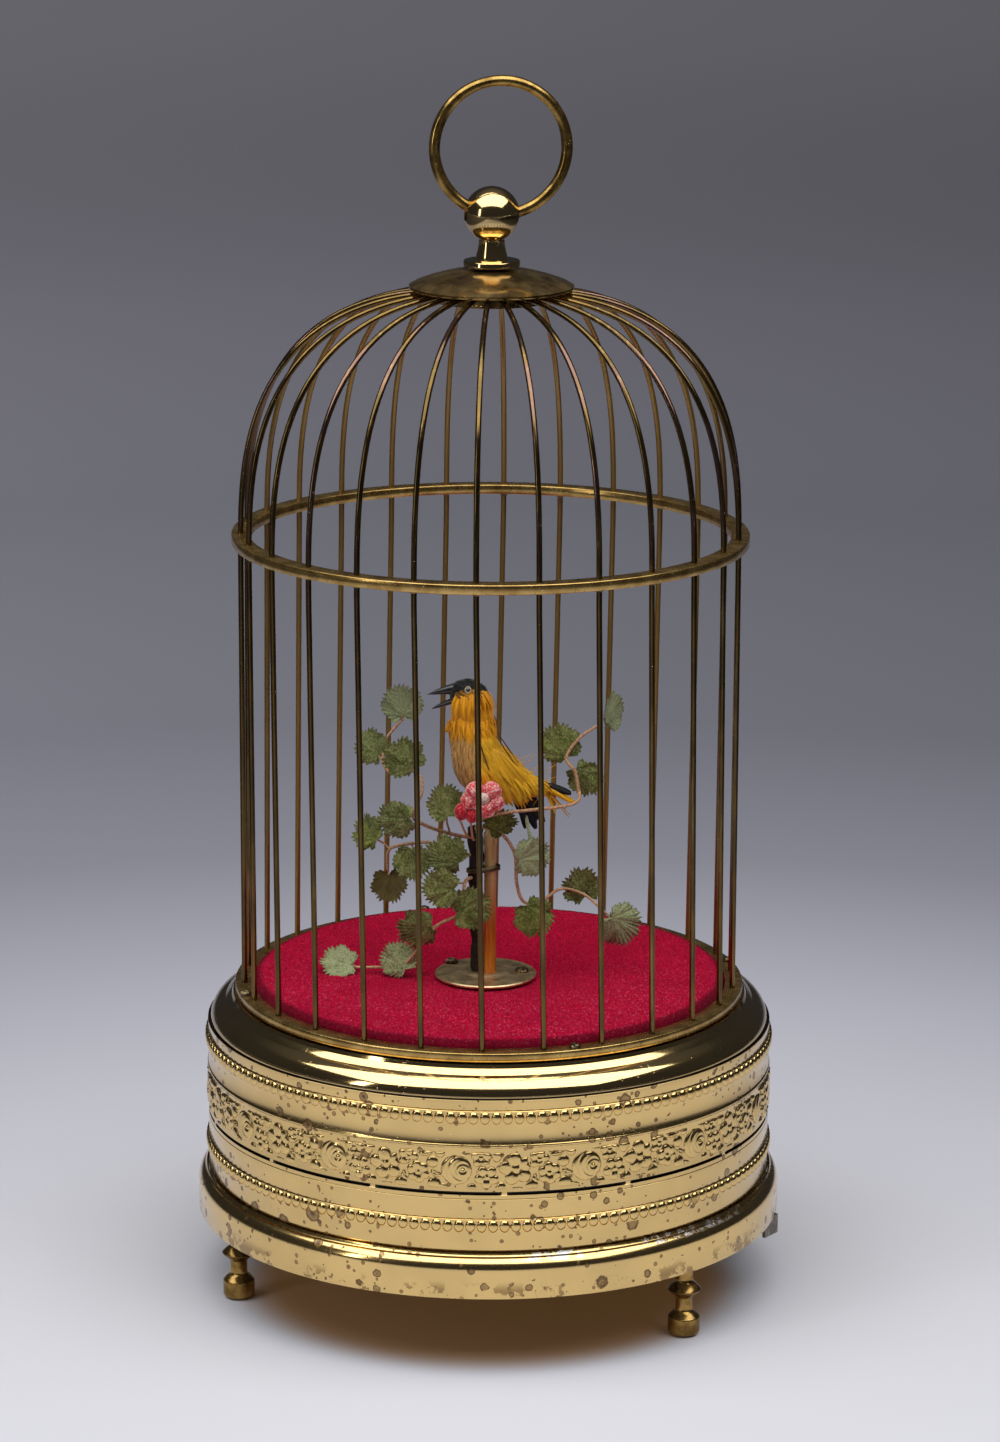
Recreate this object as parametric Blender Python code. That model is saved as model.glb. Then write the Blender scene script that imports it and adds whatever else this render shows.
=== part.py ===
# Singing bird in a brass cage, on a drum that holds the movement.
# Sizes are in millimetres and become metres where a mesh is made. +Z is up, and the feet stand on z = 0.
# The front of the object faces -Y. The origin is on the floor, under the centre of the drum.

from math import acos, asin, atan2, cos, degrees, hypot, pi, radians, sin, sqrt, tan

import bmesh
import bpy
from mathutils import Matrix, Vector

MM = 0.001
GAP = 0.3

# Feet
FOOT_COUNT = 3
FOOT_INSET = 4.7
FOOT_FIRST_TURN = radians(47.6)
FOOT_HEIGHT = 18.7
FOOT_R = 3.5
FOOT_NECK_R = 1.95

# Bottom plate and rim
PLATE_GAUGE = 1.2
SHEET = 0.8
RIM_OVERHANG = 2.5
RIM_DROP = 1.0
RIM_HEIGHT = 10.2
RIM_ROLL = 3.2
RIM_ROLL_TOP_ANGLE = 66

# Drum
DRUM_R = 65.0
DRUM_HEIGHT = 42.5
BEAD_ROW_R = 1.35
LOWER_BEADS_UP = 13.7
FLORAL_BAND_UP = 21.9
FLORAL_BAND_HEIGHT = 9.3
FLORAL_BAND_PROUD = 0.3
RIB_UP = 32.6
RIB_R = 0.55
UPPER_BEADS_UP = 38.7

# Collar and deck on top of the drum
COLLAR_INSET = 0.6
COLLAR_HEIGHT = 6.3
COLLAR_SHOULDER = 4.8
DECK_HOLE_R = 2.4

# Cage
BAR_COUNT = 26
BAR_R = 0.65
BAR_HOLE_CLEARANCE = 0.35
RING_INSET = 6.4
RING_WIDTH = 4.1
BASE_RING_HEIGHT = 2.0
MID_RING_HEIGHT = 2.2
MID_RING_UP = 105.0
DOME_SPRING_UP = 102.4
DOME_RISE = 59.5
DOME_SQUARENESS = 2.77
BAR_TURN_AT_BASE = radians(-1.3)
BAR_TURN_AT_MID = radians(-3.0)
DOME_STEPS = 6
BEND_SHARE = 0.035
FIRST_SHARE = 0.24
BAR_END_R = 13.5

# Cap and finial
CAP_R = 18.5
CAP_SAGITTA = 3.9
CAP_EDGE = 0.9
COLLAR_DISC_R = 6.35
COLLAR_DISC_HEIGHT = 1.4
NECK_BOTTOM_R = 3.64
NECK_TOP_R = 2.9
NECK_HEIGHT = 4.8
BALL_R = 6.26
BALL_CROWN_ANGLE = 74
FINIAL_STEM_LENGTH = 6.0
FINIAL_STEM_R = 2.0
FINIAL_TURN = radians(8)

# Handle ring
HANDLE_MEAN_R = 14.87
HANDLE_WIRE_R = 1.285
HANDLE_LEAN = radians(7.6)

# Carpet and stand
CARPET_THICKNESS = 2.1
FLANGE_R = 11.75
FLANGE_THICKNESS = 0.8
FLANGE_X = -0.8
POST_X = 0.2
POST_R = 1.4
POST_BORE_R = 0.85
POST_HEIGHT = 46.0
ROD_R = 0.5

# Movement
MOVEMENT_SIZE = (72.0, 68.0)
MOVEMENT_CENTRE = (-4.0, 10.0)
MOVEMENT_CORNER = 6.0
PILLAR_INSET = 4.0
PILLAR_R = 2.2
SPACER = 2.8
PLATES_APART = 20.8
PIVOT_R = 1.0
PIVOT_CLEARANCE = 0.3
MESH_CLEARANCE = 0.2

BARREL_TEETH = 40
BARREL_MODULE = 1.0
BARREL_R = 15.5
CAM_PINION_TEETH = 10
CAM_WHEEL_TEETH = 36
CAM_WHEEL_MODULE = 0.8
CRANK_PINION_TEETH = 9
CRANK_WHEEL_TEETH = 32
CRANK_WHEEL_MODULE = 0.7
FAN_PINION_TEETH = 8
FAN_BLADE_R = 9.0
CAM_ARBOR_BEARING = radians(150)
CRANK_ARBOR_BEARING = radians(65)
FAN_ARBOR_BEARING = radians(-5)
KEY_ARBOR_R = 2.0

# Materials: colour, metallic, roughness
BRASS = ((0.80, 0.60, 0.27), 1.0, 0.22)
OLD_BRASS = ((0.45, 0.33, 0.15), 1.0, 0.38)
COPPER = ((0.70, 0.42, 0.24), 1.0, 0.35)
STEEL = ((0.45, 0.45, 0.46), 1.0, 0.35)
RAW_BRASS = ((0.72, 0.56, 0.28), 1.0, 0.3)
VELVET_RED = ((0.42, 0.01, 0.04), 0.0, 0.95)
LEAF_GREEN = ((0.16, 0.19, 0.08), 0.0, 0.9)
BLOSSOM_PINK = ((0.85, 0.22, 0.22), 0.0, 0.9)
FEATHER_YELLOW = ((0.85, 0.42, 0.03), 0.0, 0.85)
HORN_BLACK = ((0.02, 0.02, 0.025), 0.0, 0.5)
LEATHER = ((0.35, 0.22, 0.13), 0.0, 0.7)

# Radii that follow from the drum's
RIM_R = DRUM_R + RIM_OVERHANG
COLLAR_R = DRUM_R - COLLAR_INSET
FOOT_CIRCLE_R = DRUM_R - FOOT_INSET
RING_OUTER_R = DRUM_R - RING_INSET
RING_INNER_R = RING_OUTER_R - RING_WIDTH
BAR_CIRCLE_R = RING_OUTER_R - RING_WIDTH / 2

# Heights above the floor that several pieces share
BASE_PLATE_Z = FOOT_HEIGHT + GAP
BASE_PLATE_TOP = BASE_PLATE_Z + PLATE_GAUGE
RIM_BOTTOM_Z = BASE_PLATE_Z - RIM_DROP
DRUM_BOTTOM_Z = BASE_PLATE_TOP + GAP
DRUM_TOP_Z = DRUM_BOTTOM_Z + DRUM_HEIGHT
COLLAR_BOTTOM_Z = DRUM_TOP_Z + GAP
DECK_Z = COLLAR_BOTTOM_Z + COLLAR_HEIGHT
BASE_RING_Z = DECK_Z + GAP
BASE_RING_TOP = BASE_RING_Z + BASE_RING_HEIGHT
MID_RING_Z = BASE_RING_Z + MID_RING_UP
DOME_SPRING_Z = BASE_RING_Z + DOME_SPRING_UP
FLANGE_Z = BASE_RING_Z + CARPET_THICKNESS + GAP
FLANGE_TOP = FLANGE_Z + FLANGE_THICKNESS
POST_TOP = FLANGE_TOP + POST_HEIGHT


def make_material(name, finish):
    """A plain shader with the part's own colour, metallic value and roughness."""
    colour, metallic, roughness = finish
    material = bpy.data.materials.new(name)
    material.use_nodes = True
    shader = material.node_tree.nodes["Principled BSDF"]
    shader.inputs["Base Color"].default_value = (*colour, 1.0)
    shader.inputs["Metallic"].default_value = metallic
    shader.inputs["Roughness"].default_value = roughness
    material.diffuse_color = (*colour, 1.0)
    return material


def add_object(name, mesh, finish=None):
    """Put a mesh in the scene under a name, shaded smooth except over sharp edges."""
    piece = bpy.data.objects.new(name, mesh)
    bpy.context.scene.collection.objects.link(piece)
    mesh.shade_smooth()
    mesh.set_sharp_from_angle(angle=radians(35))
    if finish:
        mesh.materials.append(make_material(name + "_finish", finish))
    return piece


def mesh_from(bm, name):
    """Turn a bmesh in millimetres into a mesh in metres, with its faces pointing out."""
    bmesh.ops.remove_doubles(bm, verts=bm.verts, dist=1e-4)
    bmesh.ops.recalc_face_normals(bm, faces=bm.faces)
    bmesh.ops.scale(bm, vec=(MM, MM, MM), verts=bm.verts)
    mesh = bpy.data.meshes.new(name)
    bm.to_mesh(mesh)
    bm.free()
    return mesh


def turned_mesh(name, profile, segments, closed=False):
    """Turn a profile of (radius, height) points about Z. A closed profile makes a ring or a shell."""
    bm = bmesh.new()
    rings = []
    for radius, height in profile:
        if radius == 0:
            rings.append([bm.verts.new((0, 0, height))] * segments)
            continue
        turns = (2 * pi * i / segments for i in range(segments))
        rings.append([bm.verts.new((radius * cos(t), radius * sin(t), height)) for t in turns])
    pairs = list(zip(rings, rings[1:]))
    if closed:
        pairs.append((rings[-1], rings[0]))
    for low, high in pairs:
        for i in range(segments):
            j = (i + 1) % segments
            corners = []
            for vert in (low[i], low[j], high[j], high[i]):
                if vert not in corners:
                    corners.append(vert)
            bm.faces.new(corners)
    if not closed:
        for ring, (radius, _) in ((rings[0], profile[0]), (rings[-1], profile[-1])):
            if radius:
                bm.faces.new(ring)
    return mesh_from(bm, name)


def turned(name, profile, segments, finish=None, closed=False):
    return add_object(name, turned_mesh(name, profile, segments, closed), finish)


def rod(name, radius, low, high, segments, finish=None, at=(0, 0)):
    """A plain upright cylinder."""
    piece = turned(name, [(radius, low), (radius, high)], segments, finish)
    piece.data.transform(Matrix.Translation(Vector((at[0], at[1], 0)) * MM))
    return piece


def prism(name, outline, low, high, finish=None):
    """Extrude an outline of (x, y) points between two heights."""
    bm = bmesh.new()
    face = bm.faces.new([bm.verts.new((x, y, low)) for x, y in outline])
    grown = bmesh.ops.extrude_face_region(bm, geom=[face])
    tops = [item for item in grown["geom"] if isinstance(item, bmesh.types.BMVert)]
    bmesh.ops.translate(bm, vec=(0, 0, high - low), verts=tops)
    return add_object(name, mesh_from(bm, name), finish)


def block(name, low, high, finish=None):
    """A box between two corners."""
    outline = [(low[0], low[1]), (high[0], low[1]), (high[0], high[1]), (low[0], high[1])]
    return prism(name, outline, low[2], high[2], finish)


def place(piece, matrix):
    """Move a piece's mesh by a matrix whose lengths are in millimetres."""
    scaled = matrix.copy()
    scaled.translation = matrix.translation * MM
    piece.data.transform(scaled)
    return piece


def frame_along(direction, up=(0, 0, 1)):
    """A turning matrix whose Z runs along the direction, with Y near up."""
    z = Vector(direction).normalized()
    side = Vector(up).cross(z)
    x = side.normalized() if side.length > 1e-6 else Vector((1, 0, 0))
    y = z.cross(x)
    return Matrix((x, y, z)).transposed()


def swept_mesh(name, points, radii, sides):
    """A round wire along the points, with a radius at each, closed at both ends."""
    path = [Vector(p) for p in points]
    bm = bmesh.new()
    rings = []
    x = None
    for i, centre in enumerate(path):
        before = path[max(i - 1, 0)]
        after = path[min(i + 1, len(path) - 1)]
        along = (after - before).normalized()
        if x is None:
            x = along.orthogonal().normalized()
        x = (x - along * x.dot(along)).normalized()
        y = along.cross(x)
        turns = (2 * pi * k / sides for k in range(sides))
        rings.append([bm.verts.new(centre + (x * cos(t) + y * sin(t)) * radii[i]) for t in turns])
    for low, high in zip(rings, rings[1:]):
        for k in range(sides):
            m = (k + 1) % sides
            bm.faces.new((low[k], low[m], high[m], high[k]))
    bm.faces.new(rings[0])
    bm.faces.new(rings[-1])
    return mesh_from(bm, name)


def swept(name, points, radius, sides, finish=None):
    radii = radius if isinstance(radius, (list, tuple)) else [radius] * len(points)
    return add_object(name, swept_mesh(name, points, radii, sides), finish)


def lofted(name, sections, sides, finish=None):
    """A body whose spine lies in the XZ plane. Sections are (x, z, half height across it, half width in Y)."""
    bm = bmesh.new()
    rings = []
    for i, (x, z, half_across, half_y) in enumerate(sections):
        x0, z0 = sections[max(i - 1, 0)][:2]
        x1, z1 = sections[min(i + 1, len(sections) - 1)][:2]
        along = Vector((x1 - x0, 0, z1 - z0)).normalized()
        across = Vector((-along.z, 0, along.x))
        ring = []
        for k in range(sides):
            turn = 2 * pi * k / sides
            point = Vector((x, 0, z)) + across * half_across * cos(turn)
            ring.append(bm.verts.new(point + Vector((0, half_y * sin(turn), 0))))
        rings.append(ring)
    for low, high in zip(rings, rings[1:]):
        for k in range(sides):
            m = (k + 1) % sides
            bm.faces.new((low[k], low[m], high[m], high[k]))
    bm.faces.new(rings[0])
    bm.faces.new(rings[-1])
    return add_object(name, mesh_from(bm, name), finish)


def ball(name, centre, radius, segments=8, rings=6, squash=1.0):
    bm = bmesh.new()
    bmesh.ops.create_uvsphere(bm, u_segments=segments, v_segments=rings, radius=radius)
    bmesh.ops.scale(bm, vec=(1, 1, squash), verts=bm.verts)
    bmesh.ops.translate(bm, vec=centre, verts=bm.verts)
    return add_object(name, mesh_from(bm, name))


def combine(piece, others, operation):
    """Join other solids to a piece, or cut them from it, and take the others away."""
    for other in others:
        modifier = piece.modifiers.new(operation.lower(), "BOOLEAN")
        modifier.operation = operation
        modifier.solver = "EXACT"
        modifier.object = other
        graph = bpy.context.evaluated_depsgraph_get()
        result = bpy.data.meshes.new_from_object(piece.evaluated_get(graph))
        piece.modifiers.clear()
        piece.data = result
        bpy.data.objects.remove(other)
    piece.data.shade_smooth()
    piece.data.set_sharp_from_angle(angle=radians(35))
    return piece


def join(piece, *others):
    return combine(piece, others, "UNION")


def cut(piece, *others):
    return combine(piece, others, "DIFFERENCE")


def hinge_at(piece, point):
    """Put a moving piece's origin on its joint's axis, with the mesh where it was."""
    place_mm = Vector(point) * MM
    piece.data.transform(Matrix.Translation(-place_mm))
    piece.location = place_mm
    return piece


def polar(radius, turn):
    """A point at a turn from the front (-Y) towards +X."""
    return radius * sin(turn), -radius * cos(turn)


def arc(centre_r, centre_z, radius, start, end, steps):
    """Profile points on an arc, with angles in degrees from +R towards +Z."""
    turns = [radians(start + (end - start) * i / max(steps, 1)) for i in range(steps + 1)]
    return [(centre_r + radius * cos(t), centre_z + radius * sin(t)) for t in turns]


# Base: feet, plate, rim, drum and collar

ROUND_SEGMENTS = 46


def make_foot(index):
    """A turned foot: rounded pad, cone, neck, double-coned collar and stem."""
    r, neck = FOOT_R, FOOT_NECK_R
    profile = [(0, 0), (r * 0.74, 0), (r * 0.97, 0.9), (r, 1.7), (r, 4.3), (neck, 5.9), (neck, 8.9)]
    profile += [(neck * 1.15, 9.4), (r * 1.04, 10.9), (neck, 12.7), (neck, FOOT_HEIGHT), (0, FOOT_HEIGHT)]
    foot = turned(f"foot_{index + 1}", profile, 10, BRASS)
    x, y = polar(FOOT_CIRCLE_R, FOOT_FIRST_TURN + 2 * pi * index / FOOT_COUNT)
    return place(foot, Matrix.Translation((x, y, 0)))


LEVER_PIVOT = (43.3, 5.3)
LEVER_STUD_R = 1.5
LEVER_GAUGE = 0.8
LEVER_WIDTH = 5.0
LEVER_Z = RIM_BOTTOM_Z - GAP - LEVER_GAUGE
LEVER_TAB_DROP = 3.8
LEVER_TAB_TURN = radians(80)
LEVER_TAB_R = RIM_R - 0.7
LEVER_PAD_R = 3.9
LEVER_FINGER = (10.0, 26.3)
LEVER_FINGER_R = 0.8
LEVER_SLOT_AT = (11.5, 28.6)
LEVER_SLOT_R = 4.4


def make_base_plate():
    """The bottom plate, with the key's hole, the lever's stud and the slot for its finger."""
    outer = RIM_R - SHEET - GAP
    profile = [(0, BASE_PLATE_Z), (outer, BASE_PLATE_Z), (outer, BASE_PLATE_TOP), (0, BASE_PLATE_TOP)]
    plate = turned("base_plate", profile, ROUND_SEGMENTS, STEEL)
    head_top = LEVER_Z - GAP
    stud = turned("stud", [(LEVER_STUD_R + 1.1, head_top - 0.8), (LEVER_STUD_R + 1.1, head_top),
                           (LEVER_STUD_R, head_top), (LEVER_STUD_R, BASE_PLATE_Z + 0.5)], 12)
    place(stud, Matrix.Translation((*LEVER_PIVOT, 0)))
    join(plate, stud)
    key_hole = rod("key_hole", KEY_ARBOR_R + GAP, BASE_PLATE_Z - 1, BASE_PLATE_TOP + 1, 16)
    slot = rod("slot", LEVER_SLOT_R, BASE_PLATE_Z - 1, BASE_PLATE_TOP + 1, 16, at=LEVER_SLOT_AT)
    return cut(plate, key_hole, slot)


def make_base_rim():
    """Spun foot rim: it leaves the drum with a small hollow, rolls over and falls straight."""
    top = RIM_BOTTOM_Z + RIM_HEIGHT
    lip_r = DRUM_R + GAP
    roll_r = RIM_ROLL
    outer = [(lip_r, top), (lip_r + 0.5, top - 0.55)]
    outer += arc(RIM_R - roll_r, top - 0.7 - roll_r, roll_r, RIM_ROLL_TOP_ANGLE, 0, 3)
    outer.append((RIM_R, RIM_BOTTOM_Z))
    inner = [(RIM_R - SHEET, RIM_BOTTOM_Z), (RIM_R - SHEET, top - 0.7 - roll_r)]
    inner += arc(RIM_R - roll_r, top - 0.7 - roll_r, roll_r - SHEET, 45, 45, 0)
    inner += [(lip_r, top - SHEET - 0.75)]
    return turned("base_rim", outer + inner, ROUND_SEGMENTS, BRASS, closed=True)


def make_drum_shell():
    """The drum's outline with its bead rows, floral band, groove and rib as plain raised rows."""
    z = DRUM_BOTTOM_Z
    r = DRUM_R
    floral_low = z + FLORAL_BAND_UP
    floral_top = floral_low + FLORAL_BAND_HEIGHT
    outer = [(r, z)]
    for centre in (z + LOWER_BEADS_UP, z + UPPER_BEADS_UP):
        row = [(r, centre - BEAD_ROW_R), (r + 0.5, centre), (r, centre + BEAD_ROW_R)]
        if centre > floral_top:
            row = [(r, z + RIB_UP - RIB_R), (r + 0.4, z + RIB_UP), (r, z + RIB_UP + RIB_R)] + row
        else:
            row += [(r, floral_low - 1.6), (r - 0.45, floral_low - 0.8), (r + FLORAL_BAND_PROUD, floral_low)]
            row.append((r + FLORAL_BAND_PROUD, floral_top))
        outer += row
    outer.append((r, DRUM_TOP_Z))
    shelf_r = COLLAR_R - COLLAR_SHOULDER
    under = DRUM_TOP_Z - SHEET
    inner = [(shelf_r, DRUM_TOP_Z), (shelf_r, under), (r - SHEET, under), (r - SHEET, z)]
    return turned("drum_shell", outer + inner, ROUND_SEGMENTS, BRASS, closed=True)


def make_top_collar():
    """Spun shoulder, bulging at its foot and rounding in to the flat deck, with the hole for the post."""
    z = COLLAR_BOTTOM_Z
    r = COLLAR_R
    deck = DECK_Z
    outer = [(r - 0.4, z), (r, z + 0.9)]
    steps = 4
    rise = COLLAR_HEIGHT - 1.7
    for i in range(steps + 1):
        turn = pi / 2 * i / steps
        outer.append((r - COLLAR_SHOULDER * (1 - cos(turn)), z + 1.7 + rise * sin(turn)))
    under = deck - SHEET
    inner = [(DECK_HOLE_R, deck), (DECK_HOLE_R, under), (r - COLLAR_SHOULDER, under)]
    inner += [(r - 0.35 * COLLAR_SHOULDER, z + 0.75 * COLLAR_HEIGHT - SHEET), (r - SHEET - 0.2, z)]
    return turned("top_collar", outer + inner, ROUND_SEGMENTS, BRASS, closed=True)


# Cage


def ring_with_holes(name, low, height, turn):
    """A flat ring, drilled for the cage wires."""
    high = low + height
    profile = [(RING_INNER_R, low), (RING_OUTER_R, low), (RING_OUTER_R, high), (RING_INNER_R, high)]
    ring = turned(name, profile, 2 * BAR_COUNT, OLD_BRASS, closed=True)
    place(ring, Matrix.Rotation(turn, 4, "Z"))
    bm = bmesh.new()
    for i in range(BAR_COUNT):
        x, y = polar(BAR_CIRCLE_R, turn + 2 * pi * i / BAR_COUNT)
        spin = Matrix.Rotation(turn + 2 * pi * i / BAR_COUNT, 4, "Z")
        matrix = Matrix.Translation((x, y, low + height / 2)) @ spin
        hole_r = BAR_R + BAR_HOLE_CLEARANCE
        size = {"radius1": hole_r, "radius2": hole_r, "depth": height + 2}
        bmesh.ops.create_cone(bm, cap_ends=True, segments=6, matrix=matrix, **size)
    holes = add_object("holes", mesh_from(bm, "holes"))
    return cut(ring, holes)


def dome_point(share):
    """Radius and height of a wire's centre line in the dome, from the spring line (0) to the crown (1)."""
    turn = share * pi / 2
    radius = BAR_CIRCLE_R * cos(turn) ** (2 / DOME_SQUARENESS)
    return radius, DOME_SPRING_Z + DOME_RISE * sin(turn) ** (2 / DOME_SQUARENESS)


def dome_share_at(radius):
    return acos((radius / BAR_CIRCLE_R) ** (DOME_SQUARENESS / 2)) * 2 / pi


def make_bar(index):
    """One cage wire: straight from the base ring to the middle ring, then bent over to the cap's hub."""
    step = 2 * pi * index / BAR_COUNT
    foot = (*polar(BAR_CIRCLE_R, BAR_TURN_AT_BASE + step), BASE_RING_Z + GAP)
    turn = BAR_TURN_AT_MID + step
    points = [foot]
    last = dome_share_at(BAR_END_R)
    shares = [BEND_SHARE] + [FIRST_SHARE + (last - FIRST_SHARE) * k / DOME_STEPS for k in range(DOME_STEPS + 1)]
    for share in shares:
        radius, height = dome_point(share)
        points.append((*polar(radius, turn), height))
    return swept(f"bar_{index + 1:02d}", points, BAR_R, 6, OLD_BRASS)


def bar_height_at(radius):
    return dome_point(dome_share_at(radius))[1]


CAP_Z = bar_height_at(BAR_END_R) + BAR_R + GAP
CAP_TOP = CAP_Z + CAP_EDGE + CAP_SAGITTA
HUB_R = BAR_END_R - GAP


def make_cap():
    """Shallow spun dome over the wires' ends, with the soldered hub under it and the stem's hole."""
    radius = (CAP_R**2 + CAP_SAGITTA**2) / (2 * CAP_SAGITTA)
    outer = []
    steps = 3
    for i in range(steps + 1):
        r = CAP_R + (FINIAL_STEM_R + GAP - CAP_R) * i / steps
        outer.append((r, CAP_TOP - radius + sqrt(radius**2 - r**2)))
    hub_low = bar_height_at(BAR_END_R) - BAR_R - 0.4
    inner = [(FINIAL_STEM_R + GAP, hub_low), (HUB_R, hub_low), (HUB_R, CAP_Z), (CAP_R - 0.6, CAP_Z)]
    inner += [(CAP_R, CAP_Z)]
    return turned("cap", outer + inner, BAR_COUNT, OLD_BRASS, closed=True)


DISC_Z = CAP_TOP + GAP
NECK_Z = DISC_Z + COLLAR_DISC_HEIGHT
BALL_Z = NECK_Z + NECK_HEIGHT + sqrt(BALL_R**2 - NECK_TOP_R**2) - 0.2
BORE_ACROSS = cos(HANDLE_LEAN)
BORE_DIRECTION = Vector((cos(FINIAL_TURN) * BORE_ACROSS, sin(FINIAL_TURN) * BORE_ACROSS, -sin(HANDLE_LEAN)))


def bore_radius():
    """The bent ring needs its wire, the rise of its bend at the ball's face, and running room."""
    radius = HANDLE_WIRE_R
    for _ in range(4):
        mouth = sqrt(BALL_R**2 - radius**2)
        rise = HANDLE_MEAN_R - sqrt(HANDLE_MEAN_R**2 - mouth**2)
        radius = HANDLE_WIRE_R + rise + GAP
    return radius


def make_ball_finial():
    """Turned in one: stem, collar disc, flared neck and ball, bored across for the ring."""
    foot = DISC_Z - FINIAL_STEM_LENGTH
    profile = [(0, foot), (FINIAL_STEM_R, foot), (FINIAL_STEM_R, DISC_Z), (COLLAR_DISC_R, DISC_Z)]
    profile += [(COLLAR_DISC_R, NECK_Z - 0.2), (COLLAR_DISC_R - 0.3, NECK_Z), (NECK_BOTTOM_R, NECK_Z)]
    start = -degrees(atan2(sqrt(BALL_R**2 - NECK_TOP_R**2), NECK_TOP_R))
    profile += arc(0, BALL_Z, BALL_R, start, BALL_CROWN_ANGLE, 6)
    profile += [(0, BALL_Z + BALL_R)]
    finial = turned("ball_finial", profile, 18, BRASS)
    bore = rod("bore", bore_radius(), -BALL_R * 2, BALL_R * 2, 12)
    turn = frame_along(BORE_DIRECTION).to_4x4()
    place(bore, Matrix.Translation((0, 0, BALL_Z)) @ turn)
    return cut(finial, bore)


def make_handle_ring():
    """The wire ring, whose lowest point lies in the ball's bore."""
    steps = 32
    bm = bmesh.new()
    rings = []
    sides = 7
    for i in range(steps):
        turn = 2 * pi * i / steps
        outward = Vector((cos(turn), 0, sin(turn)))
        ring = []
        for k in range(sides):
            around = 2 * pi * k / sides
            offset = outward * cos(around) + Vector((0, sin(around), 0))
            ring.append(bm.verts.new(outward * HANDLE_MEAN_R + offset * HANDLE_WIRE_R))
        rings.append(ring)
    for i in range(steps):
        low, high = rings[i], rings[(i + 1) % steps]
        for k in range(sides):
            m = (k + 1) % sides
            bm.faces.new((low[k], low[m], high[m], high[k]))
    ring = add_object("handle_ring", mesh_from(bm, "handle_ring"), BRASS)
    lift = Matrix.Translation((0, 0, HANDLE_MEAN_R))
    lean = Matrix.Rotation(HANDLE_LEAN, 4, "Y")
    turn = Matrix.Rotation(FINIAL_TURN, 4, "Z")
    place(ring, Matrix.Translation((0, 0, BALL_Z)) @ turn @ lean @ lift)
    return hinge_at(ring, (0, 0, BALL_Z))


# Carpet, stand, foliage and bird


def make_carpet():
    """Velvet pad, a little crowned and rolled over at its edge, with a hole for the post."""
    r = RING_INNER_R - GAP
    z = BASE_RING_Z
    top = z + CARPET_THICKNESS
    profile = [(DECK_HOLE_R, z), (r - 0.3, z), (r, z + 0.7), (r - 0.1, top - 0.5), (r - 0.8, top)]
    profile += [(DECK_HOLE_R, top)]
    return turned("carpet", profile, ROUND_SEGMENTS, VELVET_RED, closed=True)


def make_stand():
    """Copper tube in a screwed-down flange, which has a raised ring round the tube."""
    top = FLANGE_TOP
    profile = [(0, FLANGE_Z), (FLANGE_R, FLANGE_Z), (FLANGE_R, top - 0.3), (FLANGE_R - 0.5, top)]
    profile += [(5.6, top), (5.0, top + 0.45), (4.3, top), (0, top)]
    stand = turned("stand", profile, 24, COPPER)
    place(stand, Matrix.Translation((FLANGE_X, 0, 0)))
    tail = DECK_Z - SHEET - 2.0
    join(stand, rod("tube", POST_R, tail, POST_TOP, 12, at=(POST_X, 0)))
    return cut(stand, rod("tube_bore", POST_BORE_R, tail - 1, POST_TOP + 1, 10, at=(POST_X, 0)))


TRUNK_X = -3.3
TRUNK_HEIGHT = 34.4
TRUNK_TOP_R = 1.5
TRUNK_FOOT_R = 0.65
STEM_R = 0.42
LEAF_THICKNESS = 0.5
LEAF_LOBES = 7

# Wires of the spray, as (x, y, height above the flange) points chosen by hand along each one
BRANCHES = {
    "left_high": [(-3.3, 0, 31.9), (-9, -1.5, 33.4), (-15, -3, 35.9), (-17.4, -4, 38.4),
        (-15.4, -3.4, 44.4), (-17, -1, 47.9), (-22.5, 2, 46.9), (-24.4, 3.4, 48.9), (-23.9, 5, 53.9),
        (-20, 6, 58.7)],
    "left_mid": [(-3.3, 0, 27.9), (-8, -2, 28.9), (-13, -2.5, 31.4), (-18, -1, 30.9), (-23, 1, 28.9),
        (-23.5, 2.4, 23.9)],
    "left_low": [(-3.3, 0, 22.9), (-5.6, -4, 22.4), (-6, -6.5, 16.9), (-8, -6.5, 14.9), (-12, -6.8, 12.9),
        (-16, -5.5, 7.4), (-20, -3.6, 2.5), (-26.5, -2.6, 1.7), (-31, -2, 1.5)],
    "right_low": [(-3.3, 0, 33.4), (-1.5, -2, 35.1), (2.5, -2.4, 33.9), (5.8, -2, 28.9), (6.3, -2.4, 21.9),
        (8, -2, 17.4), (12, 0, 16.9), (16.5, 3, 19.1), (22, 4, 17.4), (26.5, 0.5, 14.4)],
    "perch": [(-3.3, 0, 32.9), (-3.5, 2.6, 35.9), (-1, 3.2, 37.5), (3.5, 3.2, 38.3), (9.7, 3, 39),
        (15.9, 3, 39.7), (20, 3.2, 40.5), (20.6, 3.2, 42.9)],
    "right_high": [(20.5, 3.2, 41.9), (19.6, 3.6, 46.9), (17.6, 4.4, 49.9), (20.5, 4.8, 54.5),
        (25.4, 5, 57.9)],
}

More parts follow.
